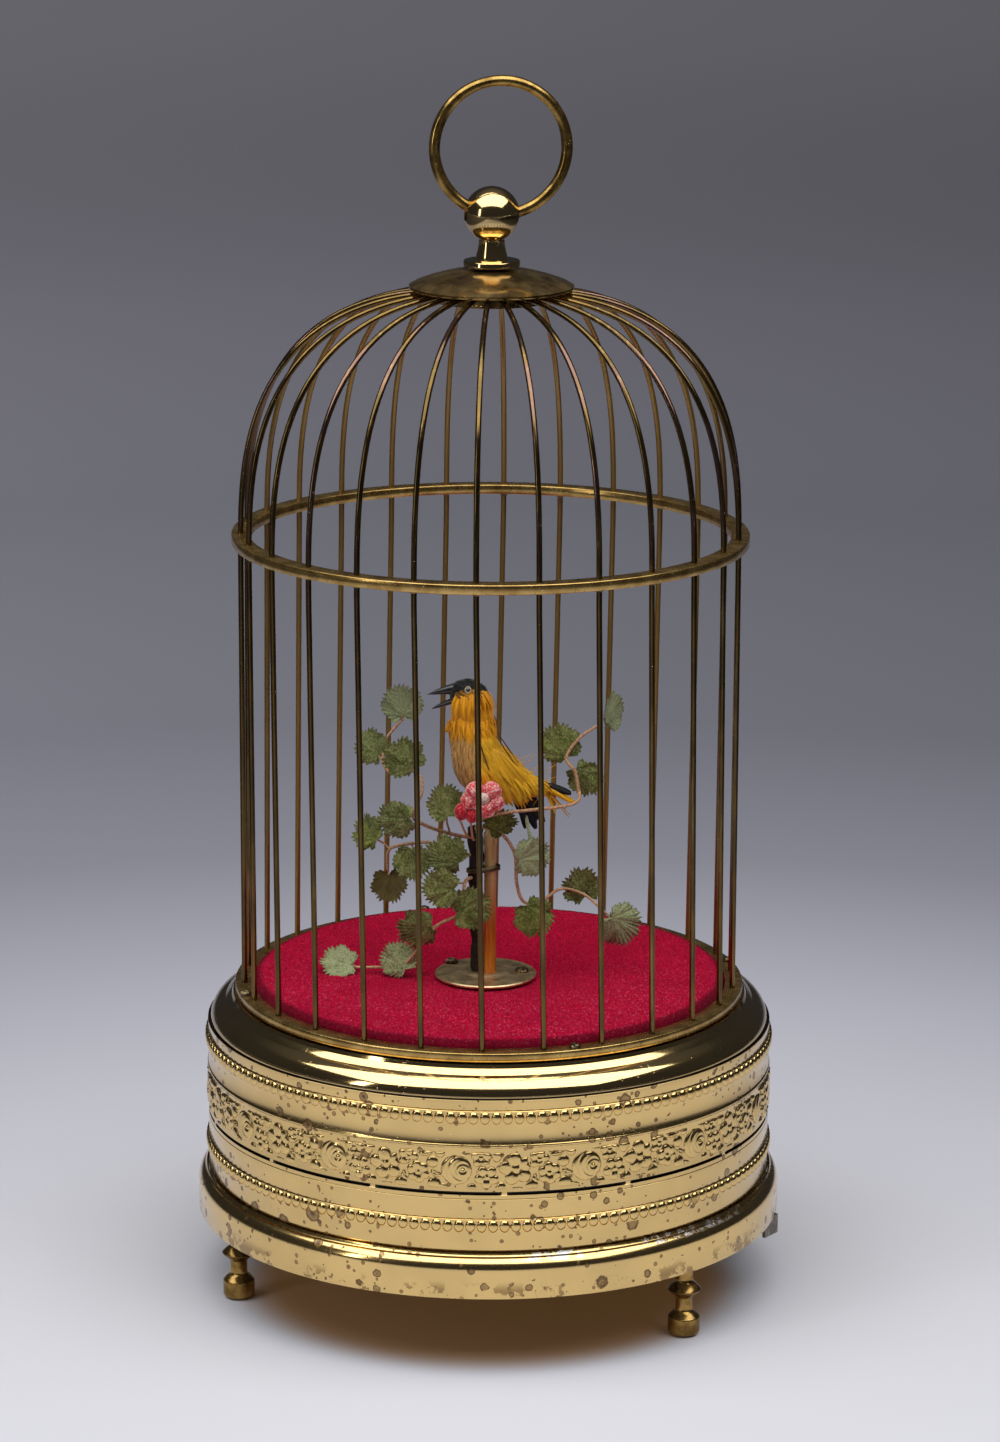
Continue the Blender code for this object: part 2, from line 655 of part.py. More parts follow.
# Leaves, with heights above the flange: centre, the point of a wire that its stalk leaves, its size,
# and how far it turns and tips from facing the front
LEAVES = [
    ((-20.2, 6, 62.4), (-20, 6, 58.7), 9.2, 0, 8),
    ((-27.3, 5, 52.2), (-24.4, 3.4, 48.9), 8.4, -20, 0),
    ((-19.6, -2, 51.4), (-17, -1, 47.9), 9.6, 10, 5),
    ((-10.2, -4, 41.3), (-9, -1.5, 33.4), 8.6, 15, -10),
    ((-21.4, -6, 37.3), (-17.4, -4, 38.4), 9, -5, 10),
    ((-28, 3, 32.5), (-23, 1, 28.9), 8.2, -35, -15),
    ((-17.7, -4, 27.3), (-18, -1, 30.9), 8.4, 5, -10),
    ((-22.7, 3, 19.6), (-23.5, 2.4, 23.9), 8.4, -15, -30),
    ((-9.9, -7, 29.6), (-8, -2, 28.9), 9.6, 0, 5),
    ((-11, -9, 22.6), (-5.6, -4, 22.4), 8.8, -10, 0),
    ((-4.2, -8, 17.5), (-6, -6.5, 16.9), 9.6, 5, -5),
    ((-16.5, -7, 11.7), (-12, -6.8, 12.9), 9.4, 0, 10),
    ((-21, -4, 4.1), (-20, -3.6, 2.5), 8.2, 0, -20),
    ((-34.6, -2, 2.5), (-31, -2, 1.8), 8.6, 5, -50),
    ((2.4, -4, 36.9), (-1.5, -2, 35.1), 8, 10, 20),
    ((9.8, -5, 28.9), (5.8, -2, 28.9), 9, 20, 5),
    ((10.5, -3, 14), (8, -2, 17.4), 9.2, 10, -15),
    ((21.2, 5, 19.5), (22, 4, 17.4), 9, 10, 5),
    ((30.8, -2, 11.7), (26.5, 0.5, 14.4), 9.8, 20, 0),
    ((16.1, 5, 53.1), (17.6, 4.4, 49.9), 9.4, 0, 0),
    ((21.9, 4.6, 44.9), (19.6, 3.6, 46.9), 8.6, -15, 5),
    ((27.1, 5, 60.9), (25.4, 5, 57.9), 9, 62, 0),
]


def lifted(points):
    """Points of the spray, from heights above the flange to heights above the floor."""
    return [(x, y, z + FLANGE_TOP) for x, y, z in points]


def leaf_solid(centre, root, size, turn, tip):
    """A scalloped leaf plate, with its midrib in line with its stalk."""
    centre, root = lifted([centre, root])
    facing = Matrix.Rotation(radians(turn), 3, "Z") @ Matrix.Rotation(radians(tip), 3, "X") @ Vector((0, -1, 0))
    midrib = Vector(centre) - Vector(root)
    midrib = (midrib - facing * midrib.dot(facing)).normalized()
    across = midrib.cross(facing)
    count = 2 * LEAF_LOBES
    outline = []
    for k in range(count):
        around = 2 * pi * k / count
        reach = size / 2 * (1.0 if k % 2 else 0.87)
        outline.append((reach * sin(around), -reach * cos(around)))
    leaf = prism("leaf", outline, -LEAF_THICKNESS / 2, LEAF_THICKNESS / 2)
    turn_matrix = Matrix((across, midrib, facing)).transposed().to_4x4()
    place(leaf, Matrix.Translation(centre) @ turn_matrix)
    inner = Vector(centre) - midrib * size * 0.2
    stalk = swept("stalk", [root, inner], STEM_R * 0.9, 4)
    return leaf, stalk


def make_foliage():
    """Bound trunk, wires, perch and leaves as one spray, whose foot stands on the flange."""
    profile = lifted([(TRUNK_X, 0, GAP), (TRUNK_X, 0, TRUNK_HEIGHT / 2), (TRUNK_X, 0, TRUNK_HEIGHT)])
    spray = swept("foliage", profile, [TRUNK_FOOT_R, 1.05, TRUNK_TOP_R], 8, LEAF_GREEN)
    for name, points in BRANCHES.items():
        join(spray, swept(name, lifted(points), STEM_R, 5))
    join(spray, swept("stub", lifted([(8.4, 3.0, 38.9), (8.8, 2.6, 36), (9.2, 2.0, 33)]), STEM_R, 5))
    for leaf in LEAVES:
        join(spray, *leaf_solid(*leaf))
    return spray


FLOWER_CENTRE = (-0.8, -9.0, FLANGE_TOP + 43.5)
FLOWER_R = 5.4
FLOWER_LOBES = 5
FLOWER_DEPTH = 2.1


def lobed_ball(name, centre):
    """A rounded blossom whose edge swells into lobes, facing the front."""
    around, across = 4 * FLOWER_LOBES, 5
    bm = bmesh.new()
    rows = []
    for j in range(across + 1):
        lean = pi * j / across
        row = []
        for i in range(around):
            turn = 2 * pi * i / around
            reach = FLOWER_R * (0.76 + 0.24 * abs(cos(FLOWER_LOBES * (turn - pi / 2) / 2))) * sin(lean)
            row.append(bm.verts.new((reach * cos(turn), -FLOWER_DEPTH * cos(lean), reach * sin(turn))))
            if j in (0, across):
                row *= around
                break
        rows.append(row)
    for low, high in zip(rows, rows[1:]):
        for i in range(around):
            k = (i + 1) % around
            corners = []
            for vert in (low[i], low[k], high[k], high[i]):
                if vert not in corners:
                    corners.append(vert)
            bm.faces.new(corners)
    flower = add_object(name, mesh_from(bm, name), BLOSSOM_PINK)
    return place(flower, Matrix.Translation(centre))


def make_flower():
    """Five rolled lobes round a heart, two buds, and the wire that brings them from the trunk's head."""
    x, y, z = FLOWER_CENTRE
    flower = lobed_ball("flower", FLOWER_CENTRE)
    stem = swept("stem", [(x, y + 0.5, z), (x - 1.6, y + 2.2, z - 5), (x - 3.0, y + 5.6, z - 7.0)], STEM_R, 5)
    twig_path = [(x - 6.6, y - 0.8, z - 3.4), (x - 3.6, y + 0.4, z - 4.4), (x - 1.5, y + 2.3, z - 5)]
    twig = swept("twig", twig_path, STEM_R, 5)
    bud_1 = ball("bud", (x - 6.6, y - 0.8, z - 3.3), 1.7)
    bud_2 = ball("bud", (x - 3.6, y + 0.3, z - 4.3), 1.6)
    return join(flower, stem, twig, bud_1, bud_2)


NECK_SEAM_UP = 15.6
NECK_SEAM_Z = POST_TOP + NECK_SEAM_UP
HEAD_AXIS_X = -4.6
BEAK_HINGE = (-7.8, 0, POST_TOP + 18.9)
TAIL_HINGE = (11.7, 0, POST_TOP - 2.1)
TAIL_HALF_WIDTH = 1.8


def perched(sections):
    """Sections of the bird, from heights above the post's top to heights above the floor."""
    return [(x, z + POST_TOP, half_across, half_y) for x, z, half_across, half_y in sections]


def make_bird_body():
    """Breast, back and rump, with folded wings, bored from below for the stand's tube."""
    seam = NECK_SEAM_UP
    sections = [(-4.3, seam, 4.3, 4.1), (-4.3, seam - 0.5, 4.4, 4.2)]
    sections += [(-4.5, 12.9, 5.0, 5.0), (-3.6, 8.5, 5.7, 5.9)]
    sections += [(-2.2, 4.3, 6.5, 6.5), (0.6, 0.5, 6.6, 6.7), (4.4, -1.5, 5.6, 6.0), (8.2, -1.9, 3.9, 4.4)]
    sections.append((11.4, -2.1, 2.2, 2.6))
    body = lofted("bird_body", perched(sections), 12, FEATHER_YELLOW)
    wing = [(-1.4, 11.5, 1.2, 0.6), (0.2, 8.3, 3.2, 1.2), (3.2, 4.1, 3.6, 1.4), (7.0, 0.8, 2.4, 1.2)]
    wing.append((10.6, -0.5, 0.9, 0.6))
    for side in (-1, 1):
        part = lofted("wing", perched(wing), 8)
        reach = [5.4, 6.0, 5.6, 4.6, 3.0]
        for index, vert in enumerate(part.data.vertices):
            vert.co.y += side * reach[index // 8] * MM
        join(body, part)
    socket = rod("socket", POST_R + GAP, POST_TOP - 20, POST_TOP + GAP, 12, at=(POST_X, 0))
    return cut(body, socket)


def make_bird_head():
    """Round head with the upper beak, notched under it for the lower beak."""
    seam = NECK_SEAM_UP + GAP
    sections = [(-4.3, seam, 4.2, 4.0), (-4.3, seam + 0.5, 4.3, 4.1), (-4.6, seam + 2.2, 4.6, 4.2)]
    sections += [(-4.9, seam + 4.4, 4.7, 4.1), (-4.9, seam + 6.4, 3.7, 3.2), (-4.8, seam + 7.6, 1.7, 1.5)]
    head = lofted("bird_head", perched(sections), 12, FEATHER_YELLOW)
    bill = [(-7.6, seam + 5.3, 1.4, 1.5), (-10.0, seam + 4.9, 1.1, 1.2), (-12.4, seam + 4.35, 0.6, 0.65)]
    bill.append((-14.4, seam + 3.8, 0.15, 0.15))
    notch = block("notch", (-12.0, -1.6, NECK_SEAM_Z + 1.9), (-7.0, 1.6, NECK_SEAM_Z + 4.05))
    join(head, lofted("upper_beak", perched(bill), 8))
    cut(head, notch)
    return hinge_at(head, (HEAD_AXIS_X, 0, NECK_SEAM_Z))


def make_lower_beak():
    """Lower beak, open in song, which turns on a pin in the head's notch."""
    seam = NECK_SEAM_UP
    sections = [(-7.9, seam + 3.25, 0.5, 1.1), (-9.6, seam + 2.4, 0.6, 1.0), (-11.6, seam + 1.55, 0.45, 0.6)]
    sections.append((-13.3, seam + 0.9, 0.15, 0.15))
    beak = lofted("lower_beak", perched(sections), 8, HORN_BLACK)
    return hinge_at(beak, BEAK_HINGE)


def make_bird_tail():
    """Upper fan of long feathers over the shorter drooping ones, as (x, height above the post's top)."""
    outline = [(12.1, -0.8), (15.2, -2.0), (19.9, -4.7), (19.6, -5.8), (15.9, -4.5), (14.8, -9.5), (13.3, -9.3)]
    outline += [(12.5, -5.9), (12.1, -3.3)]
    raised = [(x, z + POST_TOP) for x, z in outline]
    tail = prism("bird_tail", raised, -TAIL_HALF_WIDTH, TAIL_HALF_WIDTH, FEATHER_YELLOW)
    place(tail, Matrix.Rotation(pi / 2, 4, "X"))
    return hinge_at(tail, TAIL_HINGE)


# Movement

LOW_PLATE_Z = BASE_PLATE_TOP + SPACER
LOW_PLATE_TOP = LOW_PLATE_Z + PLATE_GAUGE
TOP_PLATE_Z = LOW_PLATE_TOP + PLATES_APART
TOP_PLATE_TOP = TOP_PLATE_Z + PLATE_GAUGE


def pitch_r(teeth, module):
    return teeth * module / 2


def along(start, distance, bearing):
    return start[0] + distance * cos(bearing), start[1] + distance * sin(bearing)


BARREL_AT = (0.0, 0.0)
BARREL_TO_CAM = pitch_r(BARREL_TEETH + CAM_PINION_TEETH, BARREL_MODULE) + MESH_CLEARANCE
CAM_AT = along(BARREL_AT, BARREL_TO_CAM, CAM_ARBOR_BEARING)
CAM_TO_CRANK = pitch_r(CAM_WHEEL_TEETH + CRANK_PINION_TEETH, CAM_WHEEL_MODULE) + MESH_CLEARANCE
CRANK_AT = along(CAM_AT, CAM_TO_CRANK, CRANK_ARBOR_BEARING)
CRANK_TO_FAN = pitch_r(CRANK_WHEEL_TEETH + FAN_PINION_TEETH, CRANK_WHEEL_MODULE) + MESH_CLEARANCE
FAN_AT = along(CRANK_AT, CRANK_TO_FAN, FAN_ARBOR_BEARING)

GREAT_WHEEL_Z = LOW_PLATE_TOP + 0.8
WHEEL_GAUGE = 1.4
BARREL_TOP = GREAT_WHEEL_Z + 13.4
CRANK_WHEEL_Z = GREAT_WHEEL_Z + 11.8
CAM_WHEEL_Z = GREAT_WHEEL_Z + 15.5
PINION_OVER = 0.5
CAM_COUNT = 2
CAM_GAUGE = 1.5
CAM_R = 7.4
CAM_LIFT = 1.1


def toothed_outline(teeth, module, facing, gap_first):
    """Outline of a wheel or pinion. A tooth, or a gap if gap_first, faces the given bearing."""
    root_r = pitch_r(teeth, module) - 1.1 * module
    tip_r = pitch_r(teeth, module) + 0.85 * module
    step = 2 * pi / teeth
    start = facing + (step / 2 if gap_first else 0)
    points = []
    for i in range(teeth):
        middle = start + i * step
        for share, radius in ((-0.27, root_r), (-0.11, tip_r), (0.11, tip_r), (0.27, root_r)):
            turn = middle + share * step
            points.append((radius * cos(turn), radius * sin(turn)))
    return points


def toothed(name, teeth, module, facing, gap_first, low, high):
    return prism(name, toothed_outline(teeth, module, facing, gap_first), low, high)


def train_wheel(teeth, module, facing, low):
    """A wheel of the train, with a tooth at the given bearing."""
    return toothed("wheel", teeth, module, facing, False, low, low + WHEEL_GAUGE)


def train_pinion(teeth, module, facing, wheel_low, lift=0.0):
    """A pinion that stands a little over and under the wheel it meshes with, with a gap at the given bearing."""
    low = wheel_low - PINION_OVER + lift
    return toothed("pinion", teeth, module, facing, True, low, wheel_low + WHEEL_GAUGE + PINION_OVER)


def rounded_plate(name, low, high, finish):
    """A movement plate with round corners."""
    half_x, half_y = MOVEMENT_SIZE[0] / 2, MOVEMENT_SIZE[1] / 2
    outline = []
    for quarter, (sx, sy) in enumerate(((1, 1), (-1, 1), (-1, -1), (1, -1))):
        for k in range(4):
            turn = pi / 2 * quarter + pi / 2 * k / 3
            x = MOVEMENT_CENTRE[0] + sx * (half_x - MOVEMENT_CORNER) + MOVEMENT_CORNER * cos(turn)
            y = MOVEMENT_CENTRE[1] + sy * (half_y - MOVEMENT_CORNER) + MOVEMENT_CORNER * sin(turn)
            outline.append((x, y))
    return prism(name, outline, low, high, finish)


def pillar_places():
    for sx in (-1, 1):
        for sy in (-1, 1):
            x = MOVEMENT_CENTRE[0] + sx * (MOVEMENT_SIZE[0] / 2 - PILLAR_INSET)
            y = MOVEMENT_CENTRE[1] + sy * (MOVEMENT_SIZE[1] / 2 - PILLAR_INSET)
            yield x, y


def pivot_holes(low, high):
    radius = PIVOT_R + PIVOT_CLEARANCE
    return [rod("pivot_hole", radius, low - 1, high + 1, 10, at=at) for at in (CAM_AT, CRANK_AT, FAN_AT)]


RATCHET_TEETH = 14
RATCHET_R = 7.0
RATCHET_Z = BASE_PLATE_TOP + 0.5
RATCHET_TOP = LOW_PLATE_Z - 0.5


def make_movement_frame():
    """Lower plate with riveted pillars and the click spring that holds the ratchet."""
    frame = rounded_plate("movement_frame", LOW_PLATE_Z, LOW_PLATE_TOP, RAW_BRASS)
    for at in pillar_places():
        join(frame, rod("pillar", PILLAR_R, BASE_PLATE_TOP + GAP, TOP_PLATE_Z - GAP, 10, at=at))
    click_z = (RATCHET_Z + GAP, RATCHET_TOP - GAP)
    reach = RATCHET_R + 0.9
    click = prism("click", [(reach, -14), (reach + 0.9, -14), (reach + 0.9, 1.0), (reach, 1.0)], *click_z)
    anchor = rod("anchor", 1.6, click_z[0], LOW_PLATE_Z + 0.5, 8, at=(reach + 0.5, -14))
    join(frame, join(anchor, click))
    finger_slot = rod("finger_slot", LEVER_SLOT_R, LOW_PLATE_Z - 1, LOW_PLATE_TOP + 1, 12, at=LEVER_SLOT_AT)
    arbor_hole = rod("arbor_hole", KEY_ARBOR_R + GAP, LOW_PLATE_Z - 1, LOW_PLATE_TOP + 1, 12)
    return cut(frame, arbor_hole, finger_slot, *pivot_holes(LOW_PLATE_Z, LOW_PLATE_TOP))


CAM_LEVER_WIDTH = 3.0
CAM_LEVER_HEIGHT = 1.6
SWASH_LOW = 0.8
SWASH_GAUGE = 3.1
SWASH_R = 5.2
SWASH_SLOPE = 0.12
SWASH_RISE = SWASH_R * SWASH_SLOPE
CAM_LEVER_Z = TOP_PLATE_TOP + SWASH_LOW + SWASH_GAUGE + SWASH_RISE + GAP
CAM_LEVER_PIN_R = 0.7
ROD_AT = (POST_X, 0.0)
LEVER_RUN = hypot(ROD_AT[0] - CAM_AT[0], ROD_AT[1] - CAM_AT[1])
LEVER_BEARING = atan2(ROD_AT[1] - CAM_AT[1], ROD_AT[0] - CAM_AT[0])
CAM_LEVER_PIVOT = along(CAM_AT, LEVER_RUN / 2, LEVER_BEARING)
LUG_GAUGE = 1.2
LUG_OFFSET = CAM_LEVER_WIDTH / 2 + 0.4 + LUG_GAUGE / 2


def lever_frame(height):
    """A frame at the cam lever's pivot, with X along the lever and Y along its pin."""
    return Matrix.Translation((*CAM_LEVER_PIVOT, height)) @ Matrix.Rotation(LEVER_BEARING, 4, "Z")


def make_movement_top_plate():
    """Upper plate with the two lugs and the pin that carry the cam lever."""
    plate = rounded_plate("movement_top_plate", TOP_PLATE_Z, TOP_PLATE_TOP, RAW_BRASS)
    pin_z = CAM_LEVER_Z + CAM_LEVER_HEIGHT / 2
    for side in (-1, 1):
        lug = block("lug", (-2, side * LUG_OFFSET - LUG_GAUGE / 2, TOP_PLATE_TOP - 0.5 - pin_z),
                    (2, side * LUG_OFFSET + LUG_GAUGE / 2, 2.2))
        join(plate, place(lug, lever_frame(pin_z)))
    pin = rod("pin", CAM_LEVER_PIN_R, -LUG_OFFSET, LUG_OFFSET, 8)
    join(plate, place(pin, lever_frame(pin_z) @ Matrix.Rotation(pi / 2, 4, "X")))
    arbor_hole = rod("arbor_hole", KEY_ARBOR_R + GAP, TOP_PLATE_Z - 1, TOP_PLATE_TOP + 1, 12)
    return cut(plate, arbor_hole, *pivot_holes(TOP_PLATE_Z, TOP_PLATE_TOP))


def make_spring_barrel():
    """Mainspring barrel, fast on the great wheel, bored for the winding arbor."""
    barrel = toothed("spring_barrel", BARREL_TEETH, BARREL_MODULE, CAM_ARBOR_BEARING, False, GREAT_WHEEL_Z,
                     GREAT_WHEEL_Z + WHEEL_GAUGE)
    barrel.data.materials.append(make_material("spring_barrel_finish", BRASS))
    low = GREAT_WHEEL_Z + WHEEL_GAUGE - 0.4
    can = turned("can", [(BARREL_R, low), (BARREL_R, BARREL_TOP - 0.5), (BARREL_R - 0.5, BARREL_TOP)], 32)
    join(barrel, can)
    cut(barrel, rod("bore", KEY_ARBOR_R + GAP, GREAT_WHEEL_Z - 1, BARREL_TOP + 1, 12))
    return hinge_at(barrel, (*BARREL_AT, GREAT_WHEEL_Z))


def make_cam_arbor():
    """Pinion, three song cams, toothed wheel and the swash cam that rocks the lever."""
    low = LOW_PLATE_Z
    top = TOP_PLATE_TOP + 2.0
    arbor = rod("cam_arbor", PIVOT_R, low, top, 10, STEEL)
    pinion = train_pinion(CAM_PINION_TEETH, BARREL_MODULE, CAM_ARBOR_BEARING + pi, GREAT_WHEEL_Z, 0.1)
    join(arbor, pinion)
    cams_low = GREAT_WHEEL_Z + WHEEL_GAUGE + 1.0
    join(arbor, rod("hub", 3.2, cams_low - 0.9, cams_low + CAM_COUNT * CAM_GAUGE * 2, 12))
    for k in range(CAM_COUNT):
        outline = []
        steps = 18
        for i in range(steps):
            turn = 2 * pi * i / steps
            radius = CAM_R + CAM_LIFT * sin((k + 2) * turn + k)
            outline.append((radius * cos(turn), radius * sin(turn)))
        cam_low = cams_low + 0.3 + k * CAM_GAUGE * 1.7
        join(arbor, prism("cam", outline, cam_low, cam_low + CAM_GAUGE))
    join(arbor, train_wheel(CAM_WHEEL_TEETH, CAM_WHEEL_MODULE, CRANK_ARBOR_BEARING, CAM_WHEEL_Z))
    swash_z = TOP_PLATE_TOP + SWASH_LOW
    swash = rod("swash", SWASH_R, swash_z, swash_z + SWASH_GAUGE, 16)
    for vert in swash.data.vertices:
        if vert.co.z > (swash_z + 1) * MM:
            towards_lever = vert.co.x * cos(LEVER_BEARING) + vert.co.y * sin(LEVER_BEARING)
            vert.co.z -= towards_lever * SWASH_SLOPE
    join(arbor, swash)
    place(arbor, Matrix.Translation((*CAM_AT, 0)))
    return hinge_at(arbor, (*CAM_AT, low))


ECCENTRIC_R = 3.5
ECCENTRIC_OFFSET = 1.5
BELLOWS_HINGE = (27.5, 10.0)
BOARD_THICKNESS = 1.6
BOARD_LENGTH = 36.0
HINGE_CLOTH = 0.15
BELLOWS_SHUT_OPENING = radians(8.5)
BELLOWS_LOW = TOP_PLATE_TOP + 0.9
BELLOWS_HEIGHT = 14.0
HINGE_TO_CRANK = hypot(CRANK_AT[0] - BELLOWS_HINGE[0], CRANK_AT[1] - BELLOWS_HINGE[1])
ARM_CLEARANCE = ECCENTRIC_R + ECCENTRIC_OFFSET + GAP + BOARD_THICKNESS + HINGE_CLOTH
CRANK_BEARING = atan2(CRANK_AT[1] - BELLOWS_HINGE[1], CRANK_AT[0] - BELLOWS_HINGE[0])
BOARD_BEARING = CRANK_BEARING + asin(ARM_CLEARANCE / HINGE_TO_CRANK)
BELLOWS_OPENING = radians(9.2)


def make_crank_arbor():
    """Pinion, toothed wheel and, over the top plate, the eccentric that pushes the bellows' arm."""
    low = LOW_PLATE_Z
    arbor = rod("crank_arbor", PIVOT_R, low, TOP_PLATE_TOP + 3.0, 10, STEEL)
    wheel = train_wheel(CRANK_WHEEL_TEETH, CRANK_WHEEL_MODULE, FAN_ARBOR_BEARING, CRANK_WHEEL_Z)
    pinion = train_pinion(CRANK_PINION_TEETH, CAM_WHEEL_MODULE, CRANK_ARBOR_BEARING + pi, CAM_WHEEL_Z)
    eccentric = rod("eccentric", ECCENTRIC_R, TOP_PLATE_TOP + 0.8, TOP_PLATE_TOP + 3.6, 16,
                    at=along((0, 0), ECCENTRIC_OFFSET, BOARD_BEARING - pi / 2))
    join(arbor, wheel, pinion, eccentric)
    place(arbor, Matrix.Translation((*CRANK_AT, 0)))
    return hinge_at(arbor, (*CRANK_AT, low))


def make_governor_fan():
    """Pinion and two blades that air holds back."""
    low = LOW_PLATE_Z
    arbor = rod("governor_fan", PIVOT_R, low, TOP_PLATE_TOP + 0.3, 10, STEEL)
    pinion = train_pinion(FAN_PINION_TEETH, CRANK_WHEEL_MODULE, FAN_ARBOR_BEARING + pi, CRANK_WHEEL_Z)
    blade_low = GREAT_WHEEL_Z + WHEEL_GAUGE + 1.2
    blade_top = CRANK_WHEEL_Z - PINION_OVER - 0.8
    blades = block("blades", (-FAN_BLADE_R, -0.4, blade_low), (FAN_BLADE_R, 0.4, blade_top))
    join(arbor, pinion, blades)
    place(arbor, Matrix.Translation((*FAN_AT, 0)))
    return hinge_at(arbor, (*FAN_AT, low))


def make_cam_lever():
    """Rocker on the lugs' pin, from over the swash cam to under the push rod."""
    pin_z = CAM_LEVER_Z + CAM_LEVER_HEIGHT / 2
    half = LEVER_RUN / 2
    lever = block("cam_lever", (-half + 3.0, -CAM_LEVER_WIDTH / 2, -CAM_LEVER_HEIGHT / 2),
                  (half + 1.5, CAM_LEVER_WIDTH / 2, CAM_LEVER_HEIGHT / 2), STEEL)
    boss = rod("boss", 2.0, -CAM_LEVER_WIDTH / 2, CAM_LEVER_WIDTH / 2, 12)
    join(lever, place(boss, Matrix.Rotation(pi / 2, 4, "X")))
    hole = rod("hole", CAM_LEVER_PIN_R + 0.35, -CAM_LEVER_WIDTH, CAM_LEVER_WIDTH, 12)
    cut(lever, place(hole, Matrix.Rotation(pi / 2, 4, "X")))
    place(lever, lever_frame(pin_z))
    return hinge_at(lever, (*CAM_LEVER_PIVOT, pin_z))


def make_push_rod():
    low = CAM_LEVER_Z + CAM_LEVER_HEIGHT + GAP
    return rod("push_rod", ROD_R, low, POST_TOP - 2.0, 8, STEEL, at=ROD_AT)


def board_frame(bearing, height):
    return Matrix.Translation((*BELLOWS_HINGE, height)) @ Matrix.Rotation(bearing, 4, "Z")


def make_bellows():
    """Fixed board with its leather, drawn as when the bellows are shut furthest."""
    bearing = BOARD_BEARING + BELLOWS_OPENING
    foot = TOP_PLATE_TOP + GAP
    corner = (BOARD_LENGTH, HINGE_CLOTH + BOARD_THICKNESS, BELLOWS_LOW + BELLOWS_HEIGHT)
    board = block("bellows", (3.0, HINGE_CLOTH, foot), corner, LEATHER)
    rise = tan(BELLOWS_SHUT_OPENING)
    folds = 8
    outline = [(BOARD_LENGTH - 2.0, HINGE_CLOTH + 0.3), (7.0, HINGE_CLOTH + 0.3)]
    for k in range(folds + 1):
        run = 7.0 + (BOARD_LENGTH - 9.0) * k / folds
        fold = 0.8 if k % 2 else 1.0
        outline.append((run, -(run * rise - HINGE_CLOTH - GAP) * fold))
    leather = prism("leather", outline, BELLOWS_LOW + 0.8, BELLOWS_LOW + BELLOWS_HEIGHT - 0.8)
    join(board, leather)
    return place(board, board_frame(bearing, 0))


def make_bellows_board():
    """Moving board, with the arm that the eccentric pushes."""
    near, far = -HINGE_CLOTH - BOARD_THICKNESS, -HINGE_CLOTH
    board = block("bellows_board", (3.0, near, 0), (BOARD_LENGTH, far, BELLOWS_HEIGHT), LEATHER)
    arm = block("arm", (BOARD_LENGTH - 2, near, 0.2), (HINGE_TO_CRANK + 1.5, far - 0.1, 2.4))
    join(board, arm)
    place(board, board_frame(BOARD_BEARING, BELLOWS_LOW))
    return hinge_at(board, (*BELLOWS_HINGE, BELLOWS_LOW))


WHISTLE_AT = (-22.0, -14.0)
WHISTLE_LENGTH = 26.0
WHISTLE_R = 3.6
WHISTLE_BORE_R = 2.6
WHISTLE_Z = TOP_PLATE_TOP + GAP + WHISTLE_R + 0.9


def make_whistle():
    """Tube on its saddle, open at one end for the piston, with the sounding mouth cut near the other."""
    lay = Matrix.Translation((*WHISTLE_AT, WHISTLE_Z)) @ Matrix.Rotation(pi / 2, 4, "Y")
    tube = rod("whistle", WHISTLE_R, 0, WHISTLE_LENGTH, 16, RAW_BRASS)
    place(tube, lay)
    x, y = WHISTLE_AT
    corner = (x + WHISTLE_LENGTH - 4, y + 3, WHISTLE_Z - 1.5)
    saddle = block("saddle", (x + 4, y - 3, TOP_PLATE_TOP + GAP), corner)
    join(tube, saddle)
    bore = place(rod("bore", WHISTLE_BORE_R, 1.6, WHISTLE_LENGTH + 1, 16), lay)
    mouth = block("mouth", (x + 3.0, y - 1.8, WHISTLE_Z + 1.2), (x + 5.4, y + 1.8, WHISTLE_Z + 6))
    return cut(tube, bore, mouth)


def make_whistle_piston():
    """Piston head with its rod, which slides in the whistle."""
    lay = Matrix.Translation((*WHISTLE_AT, WHISTLE_Z)) @ Matrix.Rotation(pi / 2, 4, "Y")
    head_r = WHISTLE_BORE_R - GAP
    start = WHISTLE_LENGTH - 9.0
    profile = [(head_r, start), (head_r, start + 4.5), (0.7, start + 5.0), (0.7, start + 22)]
    return place(turned("whistle_piston", profile, 12, STEEL), lay)


KEY_WING_R = 6.0
KEY_WING_HOLE_R = 2.52
KEY_WING_APART = 7.4
KEY_GAUGE = 1.8
KEY_HUB_R = 3.2


